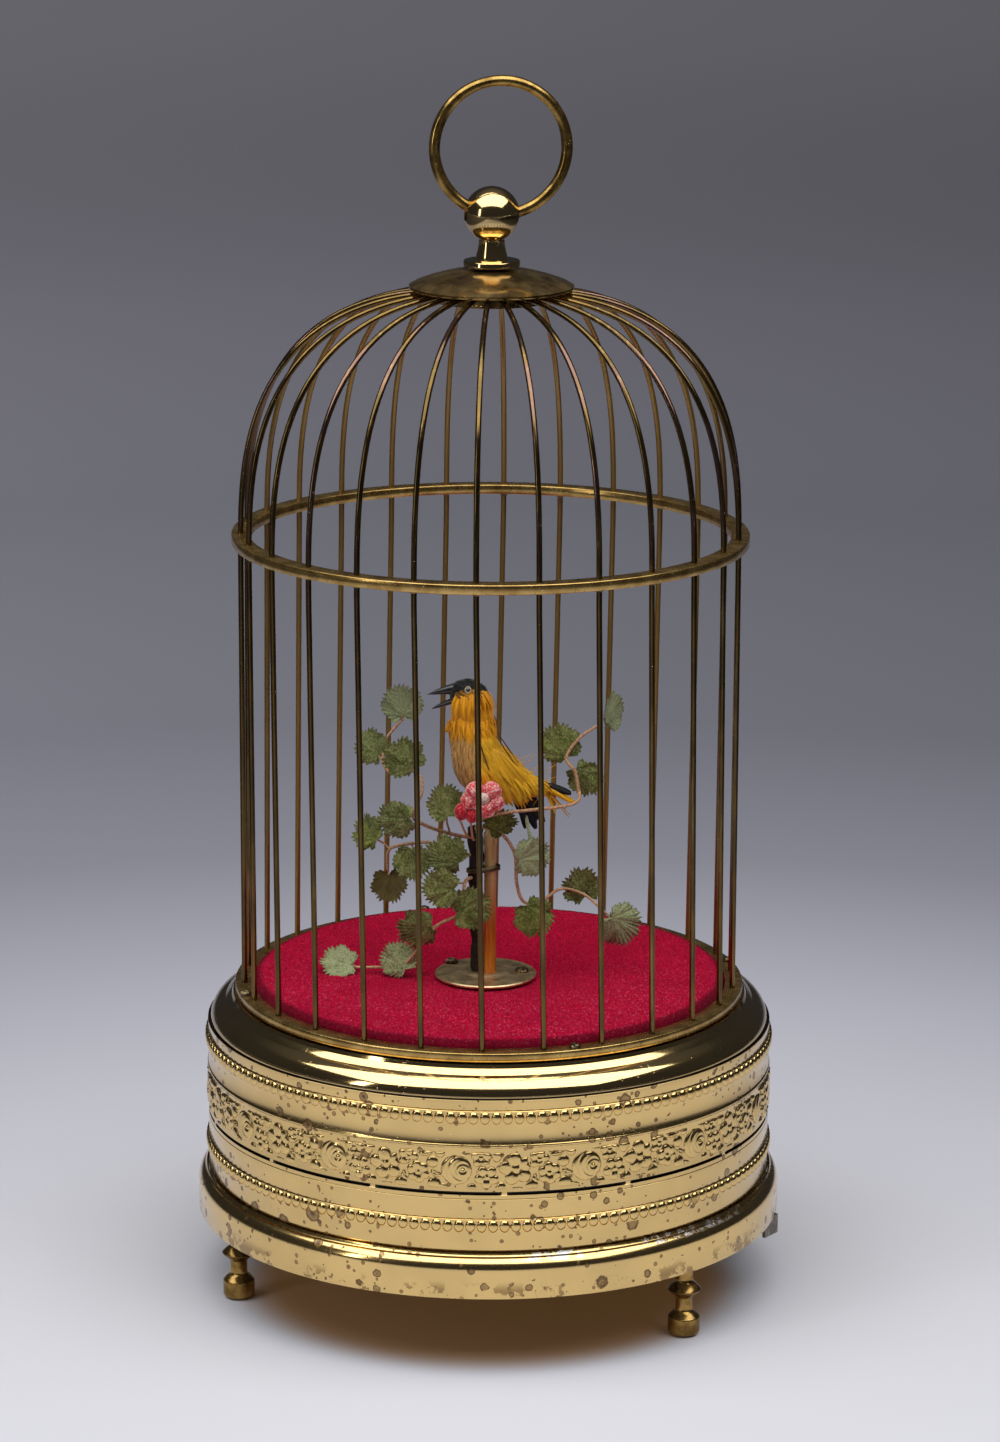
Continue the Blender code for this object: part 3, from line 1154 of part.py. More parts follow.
def make_winding_key():
    """Wing key under the plate, on the arbor that carries the ratchet wheel and winds the barrel."""
    hub_top = BASE_PLATE_Z - 1.6
    wing_z = hub_top - KEY_WING_R - 1.6
    profile = [(KEY_HUB_R - 0.5, wing_z - 1.0), (KEY_HUB_R, wing_z - 0.5), (KEY_HUB_R, hub_top)]
    profile += [(KEY_ARBOR_R, hub_top + 0.3), (KEY_ARBOR_R, TOP_PLATE_TOP + 0.8)]
    arbor = turned("winding_key", profile, 12, STEEL)
    half = KEY_GAUGE / 2
    stand_up = Matrix.Translation((0, 0, wing_z)) @ Matrix.Rotation(pi / 2, 4, "X")
    for side in (-1, 1):
        wing = place(rod("wing", KEY_WING_R, -half, half, 14, at=(side * KEY_WING_APART, 0)), stand_up)
        hole_at = (side * (KEY_WING_APART + 0.8), 0)
        hole = place(rod("hole", KEY_WING_HOLE_R, -half - 1, half + 1, 10, at=hole_at), stand_up)
        join(arbor, cut(wing, hole))
    outline = []
    step = 2 * pi / RATCHET_TEETH
    for i in range(RATCHET_TEETH):
        outline.append((RATCHET_R * cos(i * step), RATCHET_R * sin(i * step)))
        outline.append(((RATCHET_R - 1.3) * cos((i + 0.12) * step), (RATCHET_R - 1.3) * sin((i + 0.12) * step)))
    return join(arbor, prism("ratchet", outline, RATCHET_Z, RATCHET_TOP))


def on_pad(*turns):
    """Points on the round pad of the stop lever, at these bearings from its arm."""
    return [(LEVER_PAD_R * cos(t), LEVER_PAD_R * sin(t)) for t in turns]


def make_stop_lever():
    """Steel strip on the plate's stud: a bent tab outside, and a finger up to the fan inside."""
    px, py = LEVER_PIVOT
    tab_x, tab_y = polar(LEVER_TAB_R, LEVER_TAB_TURN)
    out_run = hypot(tab_x - px, tab_y - py)
    in_run = hypot(LEVER_FINGER[0] - px, LEVER_FINGER[1] - py)
    in_turn = atan2(LEVER_FINGER[1] - py, LEVER_FINGER[0] - px) - atan2(tab_y - py, tab_x - px)
    half = LEVER_WIDTH / 2
    inner_half = LEVER_FINGER_R + 0.7
    outline = [(out_run - LEVER_GAUGE / 2, -half), (out_run - LEVER_GAUGE / 2, half)]
    reach = in_run + inner_half
    spread = asin(half / LEVER_PAD_R)
    narrow = asin(inner_half / LEVER_PAD_R)
    outline += on_pad(spread, pi / 3, pi / 2, pi * 2 / 3, in_turn - narrow)
    for side in (-1, 1):
        x = reach * cos(in_turn) - side * inner_half * sin(in_turn)
        outline.append((x, reach * sin(in_turn) + side * inner_half * cos(in_turn)))
    outline += on_pad(in_turn + narrow, pi * 4 / 3, pi * 3 / 2, pi * 5 / 3, 2 * pi - spread)
    low, top = LEVER_Z, LEVER_Z + LEVER_GAUGE
    lever = prism("stop_lever", outline, low, top, STEEL)
    foot = low - LEVER_TAB_DROP
    tab = block("tab", (out_run - LEVER_GAUGE, -half - 0.1, foot), (out_run, half + 0.1, top - 0.1))
    finger = rod("finger", LEVER_FINGER_R, low + 0.2, GREAT_WHEEL_Z + 9.0, 8)
    place(finger, Matrix.Translation((in_run * cos(in_turn), in_run * sin(in_turn), 0)))
    join(lever, tab, finger)
    cut(lever, rod("stud_hole", LEVER_STUD_R + 0.35, low - 1, top + 1, 12))
    bearing = atan2(tab_y - py, tab_x - px)
    place(lever, Matrix.Translation((px, py, 0)) @ Matrix.Rotation(bearing, 4, "Z"))
    return hinge_at(lever, (px, py, low))


def main():
    for old in list(bpy.data.objects):
        bpy.data.objects.remove(old)
    for index in range(FOOT_COUNT):
        make_foot(index)
    make_base_plate()
    make_base_rim()
    make_drum_shell()
    make_top_collar()
    ring_with_holes("cage_base_ring", BASE_RING_Z, BASE_RING_HEIGHT, BAR_TURN_AT_BASE)
    ring_with_holes("mid_ring", MID_RING_Z, MID_RING_HEIGHT, BAR_TURN_AT_MID)
    for index in range(BAR_COUNT):
        make_bar(index)
    make_cap()
    make_ball_finial()
    make_handle_ring()
    make_carpet()
    make_stand()
    make_foliage()
    make_flower()
    make_bird_body()
    make_bird_head()
    make_lower_beak()
    make_bird_tail()
    make_movement_frame()
    make_movement_top_plate()
    make_spring_barrel()
    make_cam_arbor()
    make_crank_arbor()
    make_governor_fan()
    make_cam_lever()
    make_push_rod()
    make_bellows()
    make_bellows_board()
    make_whistle()
    make_whistle_piston()
    make_winding_key()
    make_stop_lever()


main()
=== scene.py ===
import random
from math import atan2, cos, degrees, hypot, pi, radians, sin, sqrt

import bmesh
import bpy
import numpy as np
from mathutils import Matrix, Vector


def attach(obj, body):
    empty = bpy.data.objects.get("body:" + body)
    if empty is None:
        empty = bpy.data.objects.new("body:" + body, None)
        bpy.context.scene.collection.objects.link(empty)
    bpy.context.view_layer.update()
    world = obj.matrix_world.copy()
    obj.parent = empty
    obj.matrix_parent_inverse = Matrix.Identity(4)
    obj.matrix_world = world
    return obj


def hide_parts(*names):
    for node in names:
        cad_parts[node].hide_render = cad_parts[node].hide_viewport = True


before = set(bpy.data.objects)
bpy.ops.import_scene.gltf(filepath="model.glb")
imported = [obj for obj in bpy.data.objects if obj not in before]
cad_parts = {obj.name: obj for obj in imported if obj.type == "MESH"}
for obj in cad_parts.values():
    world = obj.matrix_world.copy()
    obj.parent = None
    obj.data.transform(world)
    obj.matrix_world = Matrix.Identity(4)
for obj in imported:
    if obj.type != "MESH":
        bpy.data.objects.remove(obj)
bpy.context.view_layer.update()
MM = 0.001

# Sizes shared with the solids, in millimetres
DRUM_R = 65.0
DRUM_LOW, DRUM_HIGH = 20.5, 63.0
LOWER_BEADS_Z, UPPER_BEADS_Z = 34.2, 59.2
BAND_LOW, BAND_HIGH, BAND_REPEATS = 42.4, 51.7, 14
RIB_Z = 52.7
GROOVE_Z, GROOVE_DEEP = 41.78, 0.7
RIM_R, RIM_LOW, RIM_HIGH = 67.5, 18.0, 28.2
COLLAR_R, COLLAR_LOW, DECK_Z = 64.4, 63.3, 69.6
RING_OUTER_R, RING_INNER_R = 58.6, 54.5
BASE_RING_LOW, BASE_RING_HIGH = 69.9, 71.9
MID_RING_LOW, MID_RING_HIGH = 174.9, 177.1
BARS, BAR_R, BAR_CIRCLE_R = 26, 0.65, 56.5
DOME_Z, DOME_RISE, DOME_SQUARENESS = 172.3, 59.5, 2.77
BAR_END_R = 13.5
BAR_TURN_LOW, BAR_TURN_HIGH = radians(-1.3), radians(-3.0)
CAP_R, CAP_LOW, CAP_HIGH = 18.5, 232.34, 237.14
DISC_R, DISC_LOW, DISC_HIGH = 6.35, 237.44, 238.84
BALL_R, BALL_Z = 6.26, 248.989
NECK_LOW_R, NECK_HIGH_R = 3.64, 2.9
HANDLE_R, HANDLE_WIRE_R = 14.87, 1.285
HANDLE_LEAN, FINIAL_TURN = radians(7.6), radians(8)
CARPET_LOW, CARPET_HIGH, CARPET_R = 69.9, 72.0, 54.2
FLANGE_X, FLANGE_R, FLANGE_LOW, FLANGE_HIGH = -0.8, 11.75, 72.3, 73.1
POST_X, POST_R, POST_TOP = 0.2, 1.4, 119.1
FOOT_CIRCLE_R, FOOT_R, FOOT_NECK_R, FOOT_HIGH = 60.3, 3.65, 1.95, 18.7
FOOT_TURNS = [radians(47.6 + 120 * k) for k in range(3)]


# Node trees: arithmetic on links, and one way to add any other node


class Link:
    """An output of a node, on which arithmetic adds Math nodes."""

    def __init__(self, graph, socket):
        self.graph = graph
        self.socket = socket

    def math(self, operation, *others):
        values = dict(enumerate((self, *others)))
        return self.graph.node("ShaderNodeMath", {"operation": operation}, values)

    def __add__(self, other):
        return self.math("ADD", other)

    def __mul__(self, other):
        return self.math("MULTIPLY", other)

    def __sub__(self, other):
        return self.math("SUBTRACT", other)

    def __truediv__(self, other):
        return self.math("DIVIDE", other)

    def __rsub__(self, other):
        return (self * -1.0) + other

    def __rtruediv__(self, other):
        return self.math("POWER", -1.0) * other

    def __neg__(self):
        return self * -1.0

    def __pow__(self, other):
        return self.math("POWER", other)

    def __gt__(self, other):
        return self.math("GREATER_THAN", other)

    def __lt__(self, other):
        return self.math("LESS_THAN", other)

    __radd__ = __add__
    __rmul__ = __mul__

    def least(self, other):
        return self.math("MINIMUM", other)

    def most(self, other):
        return self.math("MAXIMUM", other)

    def between(self, low, high):
        """0 below low, 1 above high and smooth between them."""
        settings = {"interpolation_type": "SMOOTHSTEP"}
        return self.graph.node("ShaderNodeMapRange", settings, {0: self, 1: low, 2: high, 3: 0.0, 4: 1.0})

    def to(self, low, high):
        """This link, from 0 to 1, spread from low to high."""
        return self * (high - low) + low


class Graph:
    """A node tree of a material, the world or Geometry Nodes."""

    def __init__(self, tree):
        self.tree = tree

    def node(self, kind, settings=None, sockets=None, out=0):
        """Adds a node with its settings, feeds its sockets and returns one of its outputs."""
        added = self.tree.nodes.new(kind)
        for name, value in (settings or {}).items():
            if name == "stops":
                self.set_stops(added.color_ramp, value)
            else:
                setattr(added, name, value)
        for key, value in (sockets or {}).items():
            socket = added.inputs[key]
            for single in value if isinstance(value, list) else [value]:
                if isinstance(single, Link):
                    self.tree.links.new(single.socket, socket)
                else:
                    socket.default_value = single
        return Link(self, added.outputs[out])

    @staticmethod
    def set_stops(ramp, stops):
        """Gives a colour ramp its places and colours."""
        while len(ramp.elements) < len(stops):
            ramp.elements.new(0.5)
        for element, (place, colour) in zip(ramp.elements, stops):
            element.position = place
            element.color = (*colour, 1.0)

    def vector(self, operation, *values, out=0):
        return self.node("ShaderNodeVectorMath", {"operation": operation}, dict(enumerate(values)), out)

    def xyz(self, x=0.0, y=0.0, z=0.0):
        return self.node("ShaderNodeCombineXYZ", None, {0: x, 1: y, 2: z})

    def scaled(self, vector, amount):
        added = self.vector("SCALE", vector)
        self.tree.links.new(amount.socket, added.socket.node.inputs["Scale"])
        return added

    def parts_of(self, vector):
        split = self.tree.nodes.new("ShaderNodeSeparateXYZ")
        self.tree.links.new(vector.socket, split.inputs[0])
        return [Link(self, socket) for socket in split.outputs]


def srgb(red, green, blue):
    """A colour written as on a paint chart, 0 to 255, made linear."""
    def linear(value):
        value /= 255
        return value / 12.92 if value <= 0.04045 else ((value + 0.055) / 1.055) ** 2.4
    return (linear(red), linear(green), linear(blue))


class Finish(Graph):
    """One material: patterns on Object coordinates in millimetres, fed to a Principled shader."""

    def __init__(self, name, **constants):
        self.material = bpy.data.materials.new(name)
        self.material.use_nodes = True
        super().__init__(self.material.node_tree)
        self.shader = self.tree.nodes["Principled BSDF"]
        for socket, value in constants.items():
            self.shader.inputs[socket.replace("_", " ")].default_value = value
        place = self.node("ShaderNodeTexCoord", None, None, "Object")
        self.at = self.vector("SCALE", place)
        self.tree.nodes[-1].inputs["Scale"].default_value = 1000.0

    def stretched(self, x, y, z):
        return self.vector("MULTIPLY", self.at, (x, y, z))

    def noise(self, size, detail=3.0, rough=0.55, at=None):
        sockets = {"Vector": at or self.at, "Scale": 1 / size, "Detail": detail, "Roughness": rough}
        return self.node("ShaderNodeTexNoise", None, sockets)

    def cells(self, size, feature="F1", out="Distance"):
        return self.node("ShaderNodeTexVoronoi", {"feature": feature},
                         {"Vector": self.at, "Scale": 1 / size}, out)

    def colours(self, amount, *stops):
        return self.node("ShaderNodeValToRGB", {"stops": stops}, {0: amount})

    def blend(self, amount, first, second, way="MIX"):
        first, second = [(*c, 1.0) if isinstance(c, tuple) else c for c in (first, second)]
        settings = {"data_type": "RGBA", "blend_type": way, "clamp_factor": True}
        return self.node("ShaderNodeMix", settings, {0: amount, 6: first, 7: second}, 2)

    def attribute(self, name, out="Fac"):
        return self.node("ShaderNodeAttribute", {"attribute_name": name}, None, out)

    def upward(self):
        """How far the surface faces up, from -1 to 1."""
        return self.parts_of(self.node("ShaderNodeNewGeometry", None, None, "Normal"))[2]

    def from_axis(self):
        """Distance from the upright axis of the case, in millimetres."""
        x, y, _ = self.parts_of(self.at)
        return (x * x + y * y).math("SQRT")

    def bump(self, height, depth_mm, strength):
        sockets = {"Strength": strength, "Distance": depth_mm * MM, "Height": height}
        return self.node("ShaderNodeBump", None, sockets)

    def wear(self, **links):
        """Feeds links or constants to the shader's sockets, and returns the material."""
        for name, value in links.items():
            socket = self.shader.inputs[name.replace("_", " ")]
            if isinstance(value, Link):
                self.tree.links.new(value.socket, socket)
            else:
                socket.default_value = (*value, 1.0) if isinstance(value, tuple) else value
        return self.material


# Finishes


def spots(finish, size, largest, share):
    """Round tarnish spots of mixed size: how much of a spot, its rim and its dark middle is here."""
    distance = finish.cells(size)
    chance, darkness, _ = finish.parts_of(finish.cells(size, out="Color"))
    radius = ((chance - (1 - share)) / share).most(0.0).to(0.25, 1.0) * largest
    ragged = (finish.noise(0.8, 2.0) - 0.5) * 0.16
    edge = distance + ragged - radius
    there = chance > (1 - share)
    inside = (1 - edge.between(-0.03, 0.02)) * there
    rim = inside * edge.between(-0.11, -0.02)
    middle = inside * (1 - edge.between(-0.26, -0.12)) * (darkness > 0.5)
    return inside, rim, middle


def groove_dirt_and_shade(finish):
    """1 in the groove under the band and in the seam under the shoulder, where dark polish has gathered and
    shade is painted in.
    """
    z = finish.parts_of(finish.at)[2]
    inward = finish.from_axis() < DRUM_R - 0.03
    groove = (z - GROOVE_Z).math("ABSOLUTE") < 0.46
    seam = (z - DRUM_HIGH - 0.3).math("ABSOLUTE") < 0.22
    return inward * groove.most(seam)


def roll_wear(finish):
    """Gold lost from the foot roll beside the drum: silvery flakes right of its middle, then dark crust."""
    x, _, z = finish.parts_of(finish.at)
    outside = finish.from_axis() > DRUM_R + 0.15
    beside = outside * z.between(RIM_HIGH - 1.9, RIM_HIGH - 1.5) * (z < RIM_HIGH + 1.0)
    patchy = finish.noise(24, 2.0).between(0.47, 0.55)
    flakes = finish.noise(2.6, 4.0, 0.65).between(0.51, 0.53) * beside * patchy * x.between(2.0, 16.0)
    crust = finish.noise(0.9, 4.0, 0.7).between(0.5, 0.56) * beside * x.between(34.0, 44.0)
    return flakes * 0.9, crust * 0.85


def where_gathered(finish):
    """A broad cloud that gathers the tarnish spots of the case in the same places on all its pieces."""
    return finish.noise(19, 3.0, at=finish.vector("ADD", finish.at, (40.0, 7.0, 3.0)))


def gilt_brass(name, tarnish, rough=0.16, tone=(230, 196, 126)):
    """Lacquered brass: warm cloudy gold, round brown tarnish spots with rims, and fine scratches."""
    gilt = Finish(name, Metallic=1.0, Coat_Weight=0.45, Coat_Roughness=0.06)
    cloud = gilt.noise(16, 3.0)
    gold = gilt.blend(cloud.between(0.35, 0.7), srgb(*tone), srgb(*[c * 0.955 for c in tone]))
    gathered = where_gathered(gilt).between(0.42, 0.56)
    stain, edges, middles = 0.0, 0.0, 0.0
    for size, largest, share in ((6.4, 0.34, 0.6), (3.4, 0.36, 0.7), (1.7, 0.34, 0.7)):
        inside, rim, middle = spots(gilt, size, largest, share)
        here = gathered.to(0.22, 1.0) > gilt.parts_of(gilt.cells(size, out="Color"))[2]
        stain = (inside * here).most(stain)
        edges = (rim * here).most(edges)
        middles = (middle * here).most(middles)
    low = 1 - gilt.parts_of(gilt.at)[2].between(19.6, 22.4)
    foxing = low * gilt.noise(6, 4.0, 0.65).between(0.53, 0.57)
    stain = stain.most(foxing)
    brown = gilt.blend(gilt.noise(1.4), srgb(140, 108, 62), srgb(166, 132, 80))
    colour = gilt.blend(stain * 0.8 * tarnish, gold, brown)
    colour = gilt.blend(edges * 0.85 * tarnish, colour, srgb(92, 64, 36))
    colour = gilt.blend(middles * 0.85 * tarnish, colour, srgb(92, 66, 62))
    dirt_and_shade = groove_dirt_and_shade(gilt)
    # Darkens the groove and the seam: dark polish, and painted shade in these recesses
    colour = gilt.blend(dirt_and_shade, colour, srgb(34, 24, 12))
    silvered, crust = roll_wear(gilt)
    colour = gilt.blend(silvered, colour, srgb(224, 220, 216))
    colour = gilt.blend(crust, colour, srgb(74, 52, 26))
    fine = gilt.noise(0.35, 2.0, at=gilt.stretched(1.0, 1.0, 0.12))
    roughness = cloud.to(rough - 0.04, rough + 0.06) + stain * 0.22 * tarnish + (fine - 0.5) * 0.05
    roughness = roughness + dirt_and_shade * 0.4 + silvered * 0.2 + crust * 0.3
    relief = fine * 0.2 + stain * 0.5 + gilt.noise(4.5, 2.0) * 0.7
    return gilt.wear(Base_Color=colour, Roughness=roughness, Normal=gilt.bump(relief, 0.03, 0.5))


def embossed_brass():
    """The pressed ornament's brass, browned by dark polish and painted shade in its hollows and on the upper
    side of each shape, and rubbed bright where it stands out.
    """
    gilt = Finish("embossed_brass", Metallic=1.0, Coat_Weight=0.3, Coat_Roughness=0.1)
    relief = gilt.attribute("relief")
    cloud = gilt.noise(14, 3.0)
    gold = gilt.blend(cloud, srgb(232, 200, 132), srgb(220, 186, 116))
    hollow = 1 - relief.between(0.03, 0.42)
    grime_and_shade = hollow * gilt.noise(2.4, 3.0).between(0.3, 0.62).to(0.45, 1.0)
    gathered = where_gathered(gilt).between(0.44, 0.60)
    large, rim, middle = spots(gilt, 5.2, 0.38, 0.5)
    stained = large * gathered
    # Dark polish and painted shade where the relief attribute is low: in the hollows and on the upper sides
    # of the shapes
    colour = gilt.blend(grime_and_shade * 0.86, gold, srgb(78, 54, 24))
    colour = gilt.blend(stained * 0.75, colour, srgb(140, 106, 66))
    colour = gilt.blend(rim.most(middle) * gathered * 0.7, colour, srgb(104, 76, 56))
    roughness = grime_and_shade * 0.25 + stained * 0.2 + 0.17 + (gilt.noise(0.5) - 0.5) * 0.08
    return gilt.wear(Base_Color=colour, Roughness=roughness,
                     Normal=gilt.bump(gilt.noise(0.8, 3.0), 0.04, 0.5))


def aged_brass(name, light, dark, rough, dust=0.0, size=3.0):
    """Old unlacquered brass: brown patina, brighter where it has been rubbed, with dust on top."""
    old = Finish(name, Metallic=0.92)
    cloud = old.noise(size, 4.0, 0.6)
    speck = old.noise(size * 0.18, 2.0).between(0.58, 0.72)
    colour = old.blend(cloud.between(0.3, 0.68), srgb(*dark), srgb(*light))
    colour = old.blend(speck * 0.3, colour, srgb(*[c * 0.6 for c in dark]))
    settled = old.upward().between(0.2, 0.9) * old.noise(size * 1.6, 3.0).between(0.25, 0.75) * dust
    colour = old.blend(settled, colour, srgb(168, 150, 118))
    roughness = cloud.to(rough - 0.06, rough + 0.06) + speck * 0.08 + settled * 0.3
    grain = old.noise(0.5, 3.0) * 0.5 + cloud * 0.6
    relief = old.bump(grain, 0.03, 0.5)
    return old.wear(Base_Color=colour, Roughness=roughness, Metallic=0.94 - settled * 0.7, Normal=relief)


def wire_brass():
    """The bars' olive-brown brass, drawn lengthwise, with rubbed golden streaks, and painted light on the
    bars at the back.
    """
    wire = Finish("wire_brass")
    _, y, z = wire.parts_of(wire.at)
    # Painted light: the bars behind the post get a lighter, warmer and less metallic copy of the brass
    rear_painted_light = y.between(6.0, 30.0)
    along = wire.stretched(1.0, 1.0, 0.08)
    streak = wire.noise(1.4, 3.0, at=along)
    patch = wire.noise(13, 3.0)
    colour = wire.blend(patch.between(0.36, 0.66), srgb(94, 78, 46), srgb(124, 98, 54))
    dulled = wire.noise(22, 2.0).between(0.52, 0.62) * z.between(150.0, 205.0)
    colour = wire.blend(dulled * 0.7, colour, srgb(128, 98, 90))
    colour = wire.blend(streak.between(0.54, 0.74) * 0.4, colour, srgb(178, 148, 92))
    colour = wire.blend(wire.noise(0.7).between(0.62, 0.74) * 0.4, colour, srgb(62, 46, 26))
    colour = wire.blend(rear_painted_light * 0.85, colour, wire.blend(streak, srgb(130, 98, 44), srgb(166, 132, 70)))
    roughness = streak.to(0.10, 0.20) + rear_painted_light * 0.1
    grain = wire.bump(wire.noise(0.4, 2.0, at=along), 0.01, 0.4)
    return wire.wear(Base_Color=colour, Roughness=roughness, Metallic=0.96 - rear_painted_light * 0.36, Normal=grain)


def plain_metal(name, light, dark, rough, grain=(1.0, 1.0, 1.0), size=1.2):
    """Worked steel or raw brass, whose grain runs along the axis with the smallest of the given factors."""
    metal = Finish(name, Metallic=0.96)
    lines = metal.noise(size, 4.0, at=metal.stretched(*grain))
    cloud = metal.noise(9, 3.0)
    colour = metal.blend((lines + cloud - 0.5).between(0.25, 0.8), srgb(*dark), srgb(*light))
    roughness = lines.to(rough - 0.08, rough + 0.12)
    return metal.wear(Base_Color=colour, Roughness=roughness, Normal=metal.bump(lines, 0.02, 0.6))


def copper_tube():
    """Dull copper, tan above and amber low down, where the light of the crimson pile is painted on, with a
    lengthwise grain.
    """
    dull = Finish("post_copper", Specular_IOR_Level=0.5)
    lines = dull.noise(0.8, 3.0, at=dull.stretched(1.0, 1.0, 0.1))
    streaks = lines.between(0.3, 0.7)
    pale = dull.blend(streaks, srgb(196, 172, 108), srgb(228, 208, 146))
    amber = dull.blend(streaks, srgb(186, 96, 22), srgb(216, 130, 40))
    # Painted reflected light: the tube turns amber low down, as the crimson pile below would light it
    colour = dull.blend(dull.parts_of(dull.at)[2].between(82.0, 98.0), amber, pale)
    return dull.wear(Base_Color=colour, Roughness=lines.to(0.35, 0.5), Metallic=0.15,
                     Normal=dull.bump(lines, 0.02, 0.4))


def crimson_velvet():
    """Pile that lies in soft swathes, deeper between the tufts, with painted glints where the tips catch
    light, most towards the front, and painted shade on its rolled edge.
    """
    pile = Finish("velvet_crimson", Sheen_Weight=0.12, Sheen_Roughness=0.4, Sheen_Tint=(1.0, 0.3, 0.45, 1.0),
                  Specular_IOR_Level=0.1)
    swathe = pile.noise(13, 3.0)
    grain = pile.noise(0.6, 2.0)
    colour = pile.blend(grain.between(0.3, 0.7), srgb(146, 0, 36), srgb(204, 2, 60))
    colour = pile.blend(swathe.between(0.38, 0.66) * 0.4, colour, srgb(158, 0, 42))
    # Painted highlight: pale pink glints on the tips of the pile, stronger towards the front
    tips = pile.noise(0.55, 1.0).between(0.58, 0.70) * (1 - swathe.between(0.45, 0.7) * 0.6)
    front_sheen = 1 - pile.parts_of(pile.at)[1].between(-24.0, 20.0) * 0.7
    colour = pile.blend(tips * front_sheen * 0.5, colour, srgb(232, 112, 146))
    # Painted shade where the pad's edge rolls down
    rolled_edge_shade = pile.from_axis().between(CARPET_R - 2.2, CARPET_R - 0.7)
    colour = pile.blend(rolled_edge_shade * 0.75, colour, srgb(78, 0, 20))
    return pile.wear(Base_Color=colour, Roughness=0.88, Normal=pile.bump(grain, 0.3, 0.8))


def leaf_velvet():
    """Stiffened cloth leaf: olive, frosted with pale fuzz, with light veins, painted shade towards its edge
    and a brown underside.
    """
    leaf = Finish("leaf_velvet", Sheen_Weight=0.15, Sheen_Roughness=0.5, Specular_IOR_Level=0.2)
    tone, vein, under, edge = (leaf.attribute(name) for name in ("tone", "vein", "under", "edge"))
    mottle = leaf.noise(2.6, 4.0, 0.6)
    weave = leaf.noise(0.5, 3.0, 0.75)
    colour = leaf.blend(mottle.between(0.32, 0.68), srgb(78, 88, 26), srgb(118, 124, 50))
    colour = leaf.blend(weave.between(0.5, 0.68) * 0.6, colour, srgb(164, 168, 104))
    pale = (weave * 0.9 + mottle * 0.5 + tone * 0.8).between(0.75, 1.5)
    colour = leaf.blend(pale * 0.8, colour, srgb(176, 184, 140))
    colour = leaf.blend((1 - weave.between(0.36, 0.5)) * 0.6, colour,
                        leaf.blend(0.65, colour, srgb(36, 40, 12)))
    rust = leaf.noise(1.5, 2.0).between(0.70, 0.74)
    colour = leaf.blend(rust * 0.6, colour, srgb(128, 84, 40))
    colour = leaf.blend(vein * 0.15, colour, srgb(150, 154, 104))
    # Painted shade: the leaf darkens towards its edge
    colour = leaf.blend(edge.between(0.86, 1.0) * 0.45, colour, srgb(86, 84, 44))
    brown = leaf.blend(mottle, srgb(70, 52, 28), srgb(106, 84, 46))
    colour = leaf.blend(under, colour, brown)
    return leaf.wear(Base_Color=colour, Roughness=0.85, Normal=leaf.bump(weave + mottle * 0.3, 0.2, 0.9))


def petal_velvet(name, deep, light, frost):
    """Flocked petal or bud, deep in its hollows and frosted white on its crests."""
    petal = Finish(name, Sheen_Weight=0.3, Sheen_Roughness=0.5, Specular_IOR_Level=0.2)
    crest = petal.attribute("crest")
    grain = petal.noise(0.45, 3.0, 0.65)
    colour = petal.blend((crest * 0.75 + grain * 0.4).between(0.2, 0.85), srgb(*deep), srgb(*light))
    white = (grain + crest * 0.35).between(0.66, 0.86) * frost
    colour = petal.blend(white, colour, srgb(250, 226, 220))
    return petal.wear(Base_Color=colour, Roughness=0.9, Normal=petal.bump(grain, 0.2, 0.8))


def plumage():
    """Feathers: each of its own tone, with fine barbs that run along it, and painted shade towards its root.
    """
    vane = Finish("plumage", Sheen_Weight=0.15, Sheen_Roughness=0.4, Specular_IOR_Level=0.3)
    tone = vane.attribute("feather_tone")
    dye = vane.attribute("dye", "Color")
    across, length, _ = vane.parts_of(vane.attribute("vane", "Vector"))
    barbs = vane.noise(1.0, 2.0, 0.6, at=vane.xyz(across * 6.0, length * 1.3, tone * 41.0))
    # Each feather's own tone and barbs, with painted shade that darkens it towards its root
    shade = barbs.between(0.3, 0.7) * 0.32 + tone * 0.24 + length * 0.12 + 0.42
    colour = vane.blend(1.0, dye, vane.xyz(shade, shade * 0.97 + 0.01, shade * 0.85 + 0.02), "MULTIPLY")
    return vane.wear(Base_Color=colour, Roughness=barbs.to(0.5, 0.62), Normal=vane.bump(barbs, 0.05, 0.5))


def smooth_down():
    """Short body feathers under the coat."""
    down = Finish("down", Sheen_Weight=0.25, Sheen_Roughness=0.5, Specular_IOR_Level=0.2)
    dye = down.attribute("dye", "Color")
    streak = down.noise(0.5, 3.0, at=down.stretched(1.0, 1.0, 0.35))
    colour = down.blend(streak.between(0.35, 0.7) * 0.6, dye, down.blend(0.55, dye, (0.02, 0.012, 0.004)))
    return down.wear(Base_Color=colour, Roughness=0.8, Normal=down.bump(streak, 0.15, 0.8))


def horn():
    bill = Finish("beak_horn", Specular_IOR_Level=0.5, Coat_Weight=0.3, Coat_Roughness=0.12)
    line = bill.noise(0.5, 2.0, at=bill.stretched(0.2, 1.0, 1.0))
    colour = bill.blend(line.between(0.35, 0.7), srgb(14, 12, 13), srgb(34, 30, 32))
    return bill.wear(Base_Color=colour, Roughness=line.to(0.22, 0.38), Normal=bill.bump(line, 0.03, 0.5))


